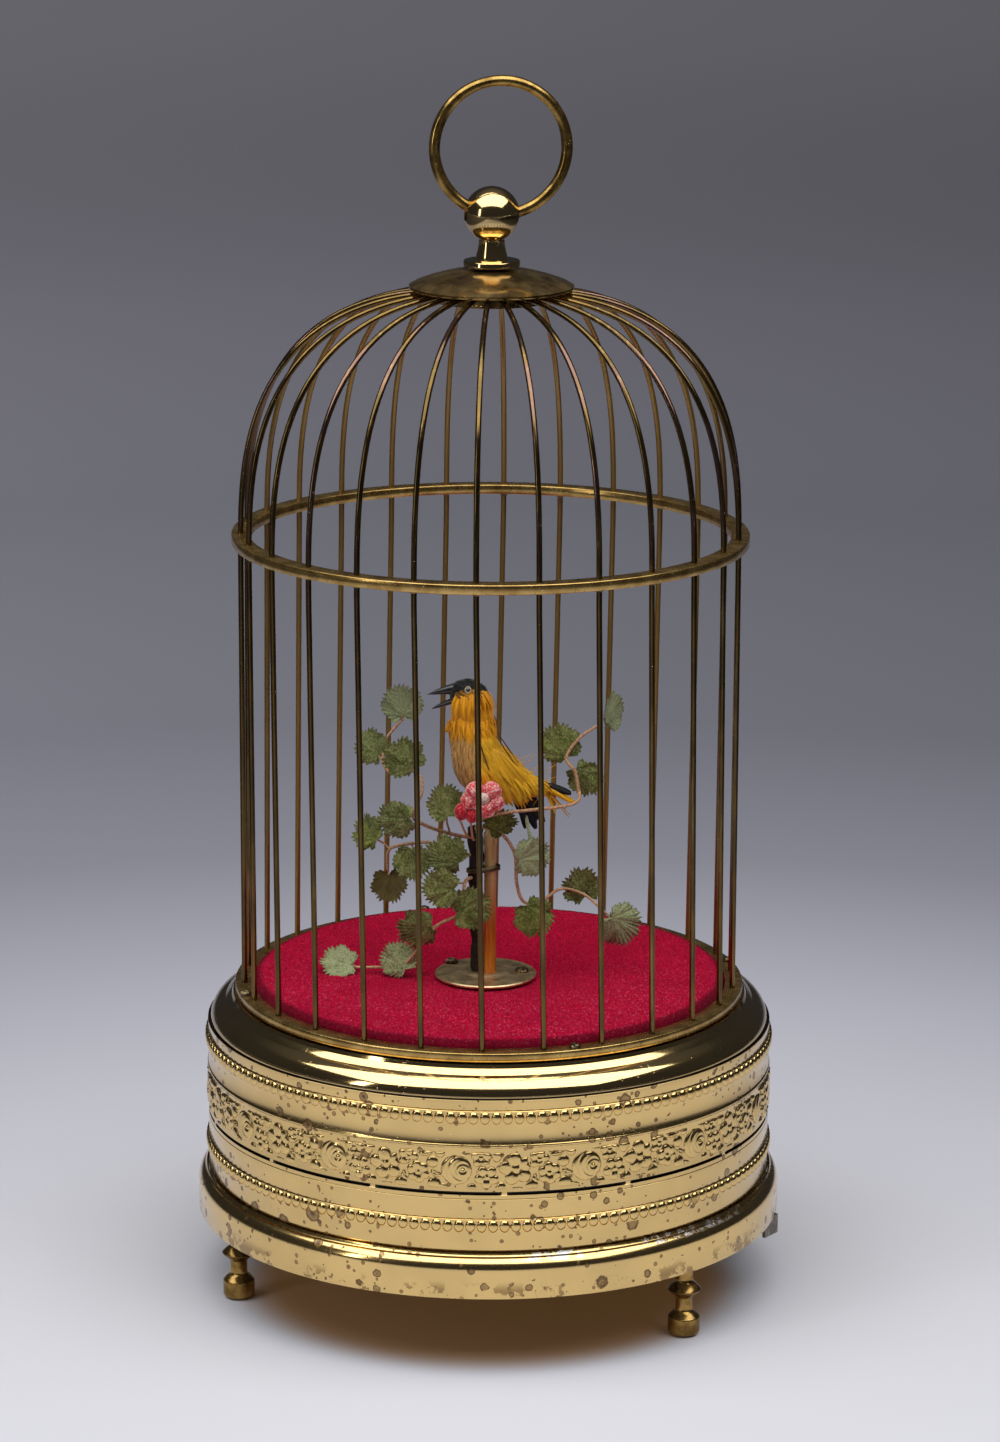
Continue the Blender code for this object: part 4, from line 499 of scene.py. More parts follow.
def paper_wire(name, light, dark):
    """Stem wire wound with paper tape, whose turns show along it."""
    tape = Finish(name, Specular_IOR_Level=0.25)
    turns = tape.attribute("turns")
    wound = (turns * (2 * pi)).math("SINE") * 0.5 + 0.5
    fibre = tape.noise(0.5, 3.0)
    colour = tape.blend((fibre + wound * 0.15).between(0.3, 0.85), srgb(*dark), srgb(*light))
    return tape.wear(Base_Color=colour, Roughness=0.72,
                     Normal=tape.bump(wound * 0.5 + fibre * 0.5, 0.05, 0.6))


def kid_leather():
    hide = Finish("kid_leather", Specular_IOR_Level=0.35)
    pores = hide.cells(0.9, "DISTANCE_TO_EDGE").between(0.0, 0.2)
    cloud = hide.noise(6, 3.0)
    colour = hide.blend(cloud, srgb(112, 78, 50), srgb(150, 110, 74))
    return hide.wear(Base_Color=colour, Roughness=cloud.to(0.5, 0.7), Normal=hide.bump(pores, 0.08, 0.6))


def glass_bead():
    eye = Finish("glass_eye", Coat_Weight=1.0, Coat_Roughness=0.03, Specular_IOR_Level=0.6)
    colour = eye.colours(eye.attribute("iris"), (0.0, srgb(6, 5, 5)), (0.5, srgb(22, 14, 10)),
                         (0.62, srgb(158, 138, 104)), (1.0, srgb(224, 210, 180)))
    return eye.wear(Base_Color=colour, Roughness=eye.noise(0.5).to(0.05, 0.12))


# Meshes


def bare_mesh(name, points, faces):
    """A mesh from points in millimetres."""
    mesh = bpy.data.meshes.new(name)
    mesh.from_pydata((np.asarray(points, float) * MM).tolist(), [], [list(map(int, face)) for face in faces])
    return mesh


def mesh_piece(name, points, faces, finish, smooth=35.0):
    """A mesh object from points in millimetres, smooth where faces meet under the given angle."""
    mesh = bare_mesh(name, points, faces)
    mesh.validate()
    return finished(name, mesh, finish, smooth)


def finished(name, mesh, finish, smooth=35.0):
    mesh.materials.clear()
    mesh.materials.append(finish)
    mesh.shade_smooth()
    if smooth < 180:
        mesh.set_sharp_from_angle(angle=radians(smooth))
    piece = bpy.data.objects.new(name, mesh)
    bpy.context.scene.collection.objects.link(piece)
    return piece


def set_attribute(mesh, name, values, kind="FLOAT"):
    layer = mesh.attributes.new(name, kind, "POINT")
    field = "value" if kind == "FLOAT" else "vector" if kind == "FLOAT_VECTOR" else "color"
    layer.data.foreach_set(field, np.asarray(values, np.float32).ravel())


def arc(centre_r, centre_z, radius, start, end, steps):
    """Profile points on an arc, with angles in degrees from outward, counted upward."""
    turns = [radians(start + (end - start) * i / steps) for i in range(steps + 1)]
    return [(centre_r + radius * cos(t), centre_z + radius * sin(t)) for t in turns]


def lathe_mesh(profile, segments=192, closed=True):
    """Points and faces of a turned form. The profile runs with its metal on its left, as (r, z)."""
    turns = [2 * pi * k / segments for k in range(segments)]
    points, rings = [], []
    for r, z in profile:
        if r < 1e-6:
            rings.append([len(points)] * segments)
            points.append((0.0, 0.0, z))
            continue
        rings.append(list(range(len(points), len(points) + segments)))
        points += [(r * cos(turn), r * sin(turn), z) for turn in turns]
    faces = []
    for low, high in zip(rings, rings[1:] + rings[:1] if closed else rings[1:]):
        for k in range(segments):
            m = (k + 1) % segments
            face = []
            for index in (low[k], low[m], high[m], high[k]):
                if index not in face:
                    face.append(index)
            if len(face) > 2:
                faces.append(face)
    return points, faces


def lathe(name, profile, finish, segments=192, closed=True, at=(0, 0, 0), smooth=35.0):
    points, faces = lathe_mesh(profile, segments, closed)
    piece = mesh_piece(name, np.array(points) + at, faces, finish, smooth)
    outward(piece.data)
    return piece


def outward(mesh):
    bm = bmesh.new()
    bm.from_mesh(mesh)
    bmesh.ops.remove_doubles(bm, verts=bm.verts, dist=1e-7)
    bmesh.ops.recalc_face_normals(bm, faces=bm.faces)
    bm.to_mesh(mesh)
    bm.free()


def joined(name, pieces):
    """One object of several, which keeps their materials, attributes and sharp edges."""
    with bpy.context.temp_override(
        active_object=pieces[0], object=pieces[0], selected_objects=pieces, selected_editable_objects=pieces
    ):
        bpy.ops.object.join()
    pieces[0].name = name
    pieces[0].data.name = name
    return pieces[0]


def smooth_path(points, steps):
    """Points on a smooth curve through the given ones."""
    pts = np.array(points, float)
    padded = np.vstack([2 * pts[0] - pts[1], pts, 2 * pts[-1] - pts[-2]])
    out = []
    for i in range(1, len(padded) - 2):
        a, b, c, d = padded[i - 1:i + 3]
        for s in range(steps):
            t = s / steps
            out.append(0.5 * (2 * b + (c - a) * t
                              + (2 * a - 5 * b + 4 * c - d) * t**2 + (3 * b - a - 3 * c + d) * t**3))
    out.append(pts[-1])
    return np.array(out)


def skin(rings, sides):
    """Faces that join rings of points in turn and close both ends, on two points after the rings."""
    first, last, top = rings * sides, rings * sides + 1, (rings - 1) * sides
    faces = []
    for low in range(0, top, sides):
        for k in range(sides):
            m = (k + 1) % sides
            faces.append((low + k, low + m, low + sides + m, low + sides + k))
    for k in range(sides):
        m = (k + 1) % sides
        faces += [(first, m, k), (last, top + k, top + m)]
    return faces


def tube_mesh(path, radii, sides):
    """Points, faces and turns of a tube along a path, with round capped ends."""
    path = np.array(path, float)
    radii = np.broadcast_to(np.asarray(radii, float), (len(path),))
    tangents = np.gradient(path, axis=0)
    tangents /= np.linalg.norm(tangents, axis=1)[:, None]
    side = np.cross(tangents[0], (0.0, 0.0, 1.0))
    if np.linalg.norm(side) < 0.1:
        side = np.cross(tangents[0], (1.0, 0.0, 0.0))
    rings, turns = [], []
    angles = 2 * pi * np.arange(sides) / sides
    run = np.concatenate([[0], np.cumsum(np.linalg.norm(np.diff(path, axis=0), axis=1))])
    for i, (point, tangent, radius) in enumerate(zip(path, tangents, radii)):
        side = side - tangent * side.dot(tangent)
        side /= np.linalg.norm(side)
        other = np.cross(tangent, side)
        rings.append(point + radius * (np.outer(np.cos(angles), side) + np.outer(np.sin(angles), other)))
        turns.append(run[i] + angles / (2 * pi))
    ends = [path[:1] - tangents[:1] * radii[0] * 0.4, path[-1:] + tangents[-1:] * radii[-1] * 0.4]
    turns = np.concatenate(turns + [[0, run[-1]]])
    return np.vstack(rings + ends), skin(len(path), sides), turns


def tube(name, path, radii, finish, sides, pitch=1.1):
    """A tube that stores how often tape of the given pitch has wound round it."""
    points, faces, turns = tube_mesh(path, radii, sides)
    piece = mesh_piece(name, points, faces, finish, 60.0)
    set_attribute(piece.data, "turns", turns / pitch)
    return piece


def keep(piece, body, slot, *nodes):
    """Hands a finished piece to its body and hides the solids that it stands for. The slot is not used."""
    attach(piece, body)
    if nodes:
        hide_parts(*nodes)


# Geometry Nodes


SOCKETS = {float: "NodeSocketFloat", int: "NodeSocketInt", bool: "NodeSocketBool"}


class Growth(Graph):
    """A Geometry Nodes tree with named inputs, for what repeats or follows a rule."""

    def __init__(self, name, **inputs):
        super().__init__(bpy.data.node_groups.new(name, "GeometryNodeTree"))
        face = self.tree.interface
        face.new_socket("Geometry", in_out="INPUT", socket_type="NodeSocketGeometry")
        self.items = {}
        for key, value in inputs.items():
            kind = SOCKETS.get(type(value))
            if kind is None:
                kind = "NodeSocketObject" if isinstance(value, bpy.types.Object) else "NodeSocketMaterial"
            self.items[key] = (face.new_socket(key, in_out="INPUT", socket_type=kind).identifier, value)
        face.new_socket("Geometry", in_out="OUTPUT", socket_type="NodeSocketGeometry")
        self.source = self.tree.nodes.new("NodeGroupInput")
        self.end = self.tree.nodes.new("NodeGroupOutput")

    def __getitem__(self, key):
        return Link(self, self.source.outputs[key])

    def geo(self, kind, sockets=None, settings=None, out=0):
        return self.node("GeometryNode" + kind, settings, sockets, out)

    def random(self, low, high, seed):
        return self.node("FunctionNodeRandomValue", {"data_type": "FLOAT"}, {2: low, 3: high, 8: seed}, 1)

    def named(self, attribute, kind="FLOAT"):
        return self.geo("InputNamedAttribute", {"Name": attribute}, {"data_type": kind})

    def shape(self, key):
        """The mesh of the object that an input names."""
        return self.geo("ObjectInfo", {"Object": self[key]}, {"transform_space": "ORIGINAL"}, "Geometry")

    def baked(self, geometry, material, smooth, base=None):
        """Ends the tree, runs it on a base mesh or on nothing, and returns its mesh as a plain object."""
        real = self.geo("RealizeInstances", {"Geometry": geometry})
        done = self.geo("SetMaterial", {"Geometry": real, "Material": material})
        self.tree.links.new(done.socket, self.end.inputs[0])
        name = self.tree.name
        mesh = base.data.copy() if base else bpy.data.meshes.new(name)
        carrier = bpy.data.objects.new(name + "_carrier", mesh)
        bpy.context.scene.collection.objects.link(carrier)
        modifier = carrier.modifiers.new("growth", "NODES")
        modifier.node_group = self.tree
        for identifier, value in self.items.values():
            modifier[identifier] = value
        carrier.update_tag()
        graph = bpy.context.evaluated_depsgraph_get()
        made = bpy.data.meshes.new_from_object(carrier.evaluated_get(graph), depsgraph=graph)
        bpy.data.objects.remove(carrier)
        made.name = name
        return finished(name, made, material, smooth)


def pattern(name, points, faces):
    """A small mesh that a tree repeats. It is kept out of the scene."""
    mesh = bare_mesh(name, points, faces)
    mesh.shade_smooth()
    return bpy.data.objects.new(name, mesh)


def row_tree(name, unit, count, radius, height, start):
    """A tree that repeats a unit, which faces +X, round a circle, and the link to what it makes."""
    tree = Growth(name, Count=count, Radius=radius * MM, Height=height * MM, Start=start, Unit=unit)
    line = tree.geo("MeshLine", {"Count": tree["Count"]})
    turn = tree.geo("InputIndex") * (2 * pi) / tree["Count"] + tree["Start"]
    spot = tree.xyz(turn.math("COSINE") * tree["Radius"], turn.math("SINE") * tree["Radius"], tree["Height"])
    placed = tree.geo("SetPosition", {"Geometry": line, "Position": spot})
    sockets = {"Points": placed, "Instance": tree.shape("Unit"), "Rotation": tree.xyz(0.0, 0.0, turn)}
    return tree, tree.geo("InstanceOnPoints", sockets)


# Camera, lamps, world and floor


def add_camera():
    camera = bpy.data.cameras.new("camera")
    camera.sensor_fit = "VERTICAL"
    camera.sensor_height = 36.0
    camera.lens = 4753.8 / 1442 * 36.0
    camera.clip_end = 50.0
    viewer = bpy.data.objects.new("camera", camera)
    turn = Matrix.Rotation(radians(90 - 13.82), 4, "X") @ Matrix.Rotation(radians(0.249), 4, "Z")
    viewer.matrix_world = Matrix.Translation(Vector((2.30, -1054.5, 392.2)) * MM) @ turn
    bpy.context.scene.collection.objects.link(viewer)
    bpy.context.scene.camera = viewer


def add_lamp(name, place, aim, size, watts):
    lamp = bpy.data.lights.new(name, "AREA")
    lamp.shape = "RECTANGLE"
    lamp.size, lamp.size_y = size
    lamp.energy = watts
    holder = bpy.data.objects.new(name, lamp)
    holder.location = place
    holder.rotation_euler = (Vector(aim) - Vector(place)).to_track_quat("-Z", "Y").to_euler()
    bpy.context.scene.collection.objects.link(holder)


def add_world():
    """A dark room: only a little light comes from its walls."""
    world = bpy.data.worlds.new("studio")
    world.use_nodes = True
    bpy.context.scene.world = world
    room = Graph(world.node_tree)
    height = room.parts_of(room.node("ShaderNodeTexCoord", None, None, "Generated"))[2]
    stops = [(0.0, (0.20, 0.20, 0.22)), (0.5, (0.026, 0.026, 0.03)), (0.78, (0.03, 0.03, 0.034)),
             (1.0, (0.14, 0.14, 0.15))]
    walls = room.node("ShaderNodeValToRGB", {"stops": stops}, {0: height * 0.5 + 0.5})
    background = world.node_tree.nodes["Background"]
    world.node_tree.links.new(walls.socket, background.inputs["Color"])
    background.inputs["Strength"].default_value = 1.0


# The floor's tones, by the square root of the distance from the case's front as a share of FLOOR_REACH. They
# paint the light's falloff: deeper at mid distance, and lighter far off where the lamp's light is weak.
FLOOR_REACH = 4200.0
FLOOR_TONES_PAINTED_FALLOFF = [
    (0.0, (216, 216, 223)), (0.17, (214, 214, 221)), (0.224, (201, 201, 210)), (0.263, (185, 185, 196)),
    (0.32, (151, 151, 163)), (0.378, (139, 139, 150)), (0.486, (158, 158, 169)), (0.607, (204, 202, 215)),
    (0.888, (250, 248, 255)),
]


def add_floor():
    """A pale sweep between dark surroundings painted as the unlit room, with the light's falloff painted
    into its tone: deeper at mid distance, lighter and glowing a little far off, dimmer to the right, and a
    painted warm bounce of light from the brass under the case.
    """
    paper = Finish("floor_paper", Specular_IOR_Level=0.2)
    x, y, _ = paper.parts_of(paper.at)
    far = (x * x + (y + 60.0) * (y + 60.0)).math("SQRT")
    stops = [(place, srgb(*tone)) for place, tone in FLOOR_TONES_PAINTED_FALLOFF]
    tone = paper.colours((far / FLOOR_REACH).math("SQRT"), *stops)
    # Painted falloff of light: the tone falls off a little towards the right, as seen from the camera
    lean = x / (y + 1600.0) * far.between(260.0, 700.0) * 1.6
    tone = paper.blend(1.0, tone, paper.xyz(1 - lean, 1 - lean, 1 - lean), "MULTIPLY")
    # Painted shade: the floor beside and before the sweep is made dark, as the unlit room would be
    beside = (x.math("ABSOLUTE") - y.most(0.0) * 0.14).between(330.0, 430.0)
    before = 1 - y.between(-1000.0, -860.0)
    tone = paper.blend(beside.most(before) * 0.93, tone, srgb(36, 36, 40))
    # Painted warm bounce of light from the brass: the floor under the case is tinted warm
    under = 1 - (x * x + (y + 6.0) * (y + 6.0)).math("SQRT").between(48.0, 61.0)
    tone = paper.blend(under * 0.8, tone, srgb(204, 150, 92), "MULTIPLY")
    tooth = paper.noise(0.8, 3.0)
    # Painted light: the floor glows a little far off, where the lamp's light is weak, and warm under the
    # case
    far_glow_share = far.between(1550.0, 3250.0)
    painted_glow = paper.blend(far_glow_share, (0.0, 0.0, 0.0), (0.036, 0.036, 0.040))
    painted_glow = paper.blend(under, painted_glow, (0.052, 0.026, 0.008))
    material = paper.wear(Base_Color=tone, Roughness=0.85, Emission_Color=painted_glow, Emission_Strength=1.0,
                          Normal=paper.bump(tooth, 0.02, 0.3))
    reach = 9000.0
    points = [(-reach, -reach, 0), (reach, -reach, 0), (reach, reach, 0), (-reach, reach, 0)]
    mesh_piece("floor", points, [(0, 1, 2, 3)], material)


add_camera()
add_world()
add_floor()
add_lamp("overhead_softbox", (0.0, -0.40, 1.15), (0, -0.40, 0.0), (2.3, 1.27), 25.0)
add_lamp("left_strip", (-0.80, -0.62, 0.42), (0, 0, 0.16), (0.10, 0.45), 0.8)
bpy.context.scene.view_settings.view_transform = "Standard"

GILT = gilt_brass("gilt_brass", 1.0)
CLEAN_GILT = gilt_brass("polished_gilt", 0.10, 0.08, (232, 200, 134))
FOOT_BRASS = aged_brass("foot_brass", (186, 150, 84), (116, 88, 44), 0.22, 0.1, 4.0)
EMBOSSED = embossed_brass()
OLD_BRASS = aged_brass("cap_patina", (172, 140, 80), (104, 80, 42), 0.13, 0.22, 4.4)
RING_BRASS = aged_brass("ring_brass", (206, 172, 104), (166, 132, 72), 0.24, 0.1, 3.6)
HANDLE_BRASS = aged_brass("handle_brass", (186, 152, 84), (126, 98, 48), 0.2, 0.06, 3.0)
FLANGE_BRASS = aged_brass("flange_brass", (232, 206, 156), (196, 168, 122), 0.32, 0.3, 2.0)
WIRE = wire_brass()
SOLDER = aged_brass("solder", (150, 130, 96), (88, 70, 46), 0.5, 0.3, 1.2)
STEEL = plain_metal("lever_steel", (172, 168, 160), (112, 104, 96), 0.4)
SCREW_STEEL = plain_metal("screw_steel", (138, 122, 92), (74, 60, 44), 0.36, size=0.6)
COPPER = copper_tube()
RAW_BRASS = plain_metal("raw_brass", (216, 186, 112), (176, 142, 78), 0.3, (0.1, 1.0, 1.0))
PLATE_STEEL = plain_metal("plate_steel", (150, 146, 140), (96, 90, 82), 0.42, (1.0, 0.12, 1.0), 1.6)
LEATHER = kid_leather()
VELVET = crimson_velvet()
LEAF = leaf_velvet()
PETAL = petal_velvet("petal_velvet", (206, 26, 50), (246, 112, 108), 0.85)
BUD = petal_velvet("bud_velvet", (150, 8, 26), (206, 24, 44), 0.15)
CREAM = petal_velvet("flower_heart", (196, 150, 128), (240, 212, 196), 0.9)
STEM = paper_wire("stem_paper", (214, 174, 136), (166, 118, 84))
PALE_STEM = paper_wire("frosted_twig", (190, 196, 158), (140, 148, 104))
TRUNK = paper_wire("trunk_wrap", (52, 40, 30), (22, 18, 16))
PLUMAGE = plumage()
DOWN = smooth_down()
HORN = horn()
EYE = glass_bead()


# Case: feet, rim, drum, collar


def make_feet():
    r, neck = FOOT_R, FOOT_NECK_R
    profile = [(0, 0), (r * 0.60, 0.0), (r * 0.74, 0.1)]
    profile += arc(r - 1.1, 1.25, 1.1, -62, 0, 5)[1:]
    profile += [(r, 4.0)] + arc(r - 0.5, 4.1, 0.5, 10, 60, 3)
    profile += [(neck + 0.75, 5.35), (neck + 0.15, 5.75), (neck, 6.2), (neck, 8.7), (neck + 0.12, 9.1)]
    profile += [(neck + 0.5, 9.5), (r, 10.55), (r * 1.05, 10.95), (r * 0.98, 11.35), (neck + 0.5, 12.4)]
    profile += [(neck + 0.05, 12.9), (neck, 13.5), (neck, FOOT_HIGH - 0.9), (neck + 0.25, FOOT_HIGH - 0.4)]
    profile += [(neck + 0.25, FOOT_HIGH), (0, FOOT_HIGH)]
    feet = []
    for turn in FOOT_TURNS:
        place = (FOOT_CIRCLE_R * sin(turn), -FOOT_CIRCLE_R * cos(turn), 0)
        feet.append(lathe("foot", profile, FOOT_BRASS, 40, closed=False, at=place, smooth=50))
    keep(joined("turned_feet", feet), "base", "brass_case", "foot_1", "foot_2", "foot_3")


def make_rim():
    """Rolled foot rim, with a small hollow between the roll and the drum."""
    top = RIM_HIGH
    lip = DRUM_R + 0.3
    outer = [(lip, top - 0.25), (lip + 0.12, top - 0.05), (lip + 0.35, top - 0.1)]
    outer += [(lip + 0.55, top - 0.5), (lip + 0.75, top - 0.72)]
    outer += arc(RIM_R - 3.2, top - 3.85, 3.2, 74, 0, 12)
    outer += [(RIM_R, RIM_LOW + 0.3), (RIM_R - 0.12, RIM_LOW + 0.05), (RIM_R - 0.4, RIM_LOW),
              (RIM_R - 0.7, RIM_LOW)]
    inner = [(RIM_R - 0.8, RIM_LOW + 0.15), (RIM_R - 0.8, top - 4.2)]
    inner += arc(RIM_R - 3.2, top - 3.9, 2.4, 20, 60, 4) + [(lip, top - 1.6)]
    keep(lathe("foot_rim", outer + inner, GILT, 256), "base", "brass_case", "base_rim")


def bead_strip(centre):
    """Profile of the shallow pressed strip that a row of beads stands on."""
    steps = ((0.0, -1.75), (0.1, -1.55), (0.1, 1.45), (-0.14, 1.62), (0.0, 1.85))
    return [(DRUM_R + out, centre + up) for out, up in steps]


def make_drum():
    """Spun shell with its bead strips, groove, band recess and rib, open at its foot."""
    r = DRUM_R
    groove, bottom = GROOVE_Z, r - GROOVE_DEEP
    outer = [(r, DRUM_LOW)] + bead_strip(LOWER_BEADS_Z)
    outer += [(r, BAND_LOW - 2.05), (r - 0.12, BAND_LOW - 1.95), (r, BAND_LOW - 1.85)]
    outer += [(r, groove - 0.4), (bottom, groove - 0.32), (bottom, groove + 0.32), (r, groove + 0.4)]
    outer += [(r - 0.12, BAND_LOW + 1.8), (r - 0.12, BAND_HIGH - 2.0), (r - 0.05, RIB_Z - 0.6)]
    outer += [(r + 0.22 * cos(t), RIB_Z + 0.36 * sin(t)) for t in (-1.3, -0.8, -0.3, 0.2, 0.8, 1.3)]
    outer += [(r - 0.05, RIB_Z + 0.62)] + bead_strip(UPPER_BEADS_Z)
    outer += [(r, DRUM_HIGH + 0.2), (r - 0.04, DRUM_HIGH + 0.24), (r - 0.7, DRUM_HIGH + 0.24),
              (r - 0.7, DRUM_HIGH)]
    shelf = COLLAR_R - 4.8
    inner = [(shelf, DRUM_HIGH), (shelf, DRUM_HIGH - 0.8), (r - 1.1, DRUM_HIGH - 0.8), (r - 1.1, DRUM_LOW)]
    drum = lathe("drum", outer + inner, GILT, 384)
    fill_groove(drum.data)
    keep(drum, "base", "brass_case", "drum_shell")


# Where the groove's gap under each repeat of the band starts, and how long it is, as shares of a repeat
GAP_START, GAP_LENGTH = 0.581, 0.075


def fill_groove(mesh):
    """Lifts the groove's bottom to the surface at one short gap under each repeat of the band."""
    for vert in mesh.vertices:
        x, y, z = vert.co / MM
        share = (atan2(y, x) / (2 * pi) * BAND_REPEATS - GAP_START) % 1.0
        at_bottom = abs(z - GROOVE_Z) < 0.34 and abs(hypot(x, y) - DRUM_R + GROOVE_DEEP) < 0.05
        if at_bottom and share < GAP_LENGTH:
            vert.co.xy *= DRUM_R / hypot(x, y)


BEADS, BEAD_DEEP, BEAD_WIDE, BEAD_TALL = 162, 0.66, 1.24, 1.55


def make_bead_rows():
    """Two rows of pressed round beads, each row one piece."""
    rings, around = 3, 12
    points = [(BEAD_DEEP, 0.0, 0.0)]
    for i in range(1, rings + 1):
        tilt = pi / 2 * i / rings
        for k in range(around):
            turn = 2 * pi * k / around
            deep = BEAD_DEEP * cos(tilt) - (0.25 if i == rings else 0)
            points.append((deep, BEAD_WIDE * sin(tilt) * cos(turn), BEAD_TALL * sin(tilt) * sin(turn)))
    faces = [(0, 1 + k, 1 + (k + 1) % around) for k in range(around)]
    for inner in range(1, 1 + (rings - 1) * around, around):
        for k in range(around):
            m = (k + 1) % around
            faces.append((inner + k, inner + around + k, inner + around + m, inner + m))
    bead = pattern("bead", points, faces)
    for name, height, start in (("lower_bead_row", LOWER_BEADS_Z, 0.0),
                                ("upper_bead_row", UPPER_BEADS_Z, 0.01)):
        tree, beads = row_tree(name, bead, BEADS, DRUM_R + 0.06, height, start)
        row = tree.baked(beads, EMBOSSED, 180)
        set_attribute(row.data, "relief", [bead_relief_and_shade(v.co / MM) for v in row.data.vertices])
        keep(row, "base", "brass_case")


def bead_relief_and_shade(p):
    """How rubbed a point of a bead is: bright where it stands out, and browner towards its top, where dark
    polish and painted shade are put.
    """
    row = LOWER_BEADS_Z if p.z < (LOWER_BEADS_Z + UPPER_BEADS_Z) / 2 else UPPER_BEADS_Z
    return 0.4 + 0.6 * (p.xy.length - DRUM_R) - 0.9 * max(0.0, (p.z - row) / BEAD_TALL - 0.5)


BAND_LENGTH = 2 * pi * (DRUM_R - 0.1) / BAND_REPEATS
BAND_DEPTH = BAND_HIGH - BAND_LOW - 0.5


def dome(x, y, at, radius):
    """Height of one smooth round swelling, from 0 at its edge to 1."""
    far = ((x - at[0]) / radius) ** 2 + ((y - at[1]) / radius) ** 2
    return np.sqrt(np.clip(1 - far, 0, 1))


def blossom(x, y, at, size, petals, phase):
    """Height of a pressed flower: smooth round petals, each with a soft crease, about a raised heart."""
    height = np.zeros_like(x)
    for k in range(petals):
        turn = phase + 2 * pi * k / petals
        spot = (at[0] + 0.60 * size * cos(turn), at[1] + 0.60 * size * sin(turn))
        petal = dome(x, y, spot, 0.40 * size) ** 0.55
        across = (x - spot[0]) * -sin(turn) + (y - spot[1]) * cos(turn)
        height = np.maximum(height, petal * (0.74 - 0.05 * np.exp(-(across / 0.2) ** 2)))
    return np.maximum(height, 0.66 * dome(x, y, at, 0.25 * size) ** 0.7)


def rose(x, y, at, size):
    """Height of the rose: a full round cup whose petals wrap about an eye set to its right."""
    cup = dome(x, y, at, size) ** 0.7
    eye = (at[0] + 0.42 * size, at[1] + 0.02 * size)
    height = cup * 0.86
    around = np.arctan2(y - eye[1], x - eye[0])
    far = np.hypot(x - eye[0], y - eye[1])
    for reach, deep, towards in ((0.98, 0.26, 2.9), (0.66, 0.24, -2.4), (0.42, 0.3, 2.4)):
        side = np.clip(0.35 + 0.65 * np.cos(around - towards), 0, 1)
        height -= deep * side * np.exp(-((far - reach * size) / 0.24) ** 2) * (cup > 0)
    height -= 0.38 * np.exp(-((far - 0.17 * size) / 0.2) ** 2) * (cup > 0)
    return np.clip(np.maximum(height, dome(x, y, eye, 0.13 * size)), 0, 1)


def spray_leaf(x, y, at, length, width, turn, bend):
    """Height of a pointed leaf with a sunk midrib and side veins."""
    dx, dy = x - at[0], y - at[1]
    u = dx * cos(turn) + dy * sin(turn)
    v = -dx * sin(turn) + dy * cos(turn) - bend * (u / length) ** 2 * length
    t = np.clip(u / length + 0.5, 0, 1)
    half = width * np.sin(pi * t) ** 0.8 * (1 - 0.35 * t) + 1e-6
    side = np.abs(v) / half
    body = np.clip(1 - side**2.5, 0, 1) ** 0.6 * ((u / length > -0.5) & (u / length < 0.5))
    rib = np.exp(-(v / 0.15) ** 2) * 0.34
    veins = 0.10 * np.cos(2 * pi * (u - np.abs(v) * 0.8) / 0.95)
    return np.clip(body * (0.62 + veins) - rib * (body > 0), 0, 1)


# What a repeat of the band holds. Each starts with its place from the rose's middle, in millimetres.
BAND_ROSE = (4.2, 0.1)
# Flowers: place, radius, petals and turn
BAND_FLOWERS = [
    (5.5, 2.9, 2.4, 5, 0.3), (6.7, -1.5, 2.8, 5, 0.9), (13.2, 0.3, 3.9, 5, 0.5), (18.3, 2.4, 2.4, 5, 0.1),
    (20.6, -0.9, 2.7, 6, 0.7),
]
# Single petals: place and radius
BAND_PETALS = [
    (9.2, 3.3, 1.5), (9.7, -3.9, 1.3), (16.7, -3.7, 1.5), (23.8, 1.6, 1.4), (24.2, -3.4, 1.6),
    (3.4, -4.0, 1.1), (-3.6, 3.8, 1.2),
]
# Leaves: place, length, half width, turn and bend
BAND_LEAVES = [
    (22.4, 3.9, 4.6, 1.4, 0.15, 0.1), (17.4, -1.7, 3.6, 1.1, -0.7, 0.1), (24.6, -1.0, 3.2, 1.0, -0.4, 0.1),
    (9.6, 0.9, 2.8, 0.8, 1.2, 0.1), (2.4, 4.1, 3.0, 0.8, -0.1, -0.1), (-2.8, -3.9, 2.8, 0.8, -0.2, 0.1),
    (13.4, -4.3, 3.0, 0.8, 0.1, 0.1),
]


def set_apart(height, x, y, at, size):
    """Presses the ground down round a flower, so that its edge stands free."""
    far = np.hypot(x - at[0], y - at[1])
    return height * np.clip((far - size * 1.02) / 0.22, 0, 1)


def band_height(x, y):
    """Pressed relief of one repeat of the floral band, from 0 to about 1."""
    height = np.zeros_like(x)
    rx, middle = BAND_ROSE
    for dx, dy, *leaf in BAND_LEAVES:
        height = np.maximum(height, spray_leaf(x, y, (rx + dx, middle + dy), *leaf))
    for dx, dy, size in BAND_PETALS:
        height = np.maximum(height, 0.66 * dome(x, y, (rx + dx, middle + dy), size) ** 0.8)
    for dx, dy, size, *flower in BAND_FLOWERS:
        at = (rx + dx, middle + dy)
        height = np.maximum(set_apart(height, x, y, at, size), blossom(x, y, at, size, *flower))
    return np.maximum(set_apart(height, x, y, BAND_ROSE, 3.5), rose(x, y, BAND_ROSE, 3.5))


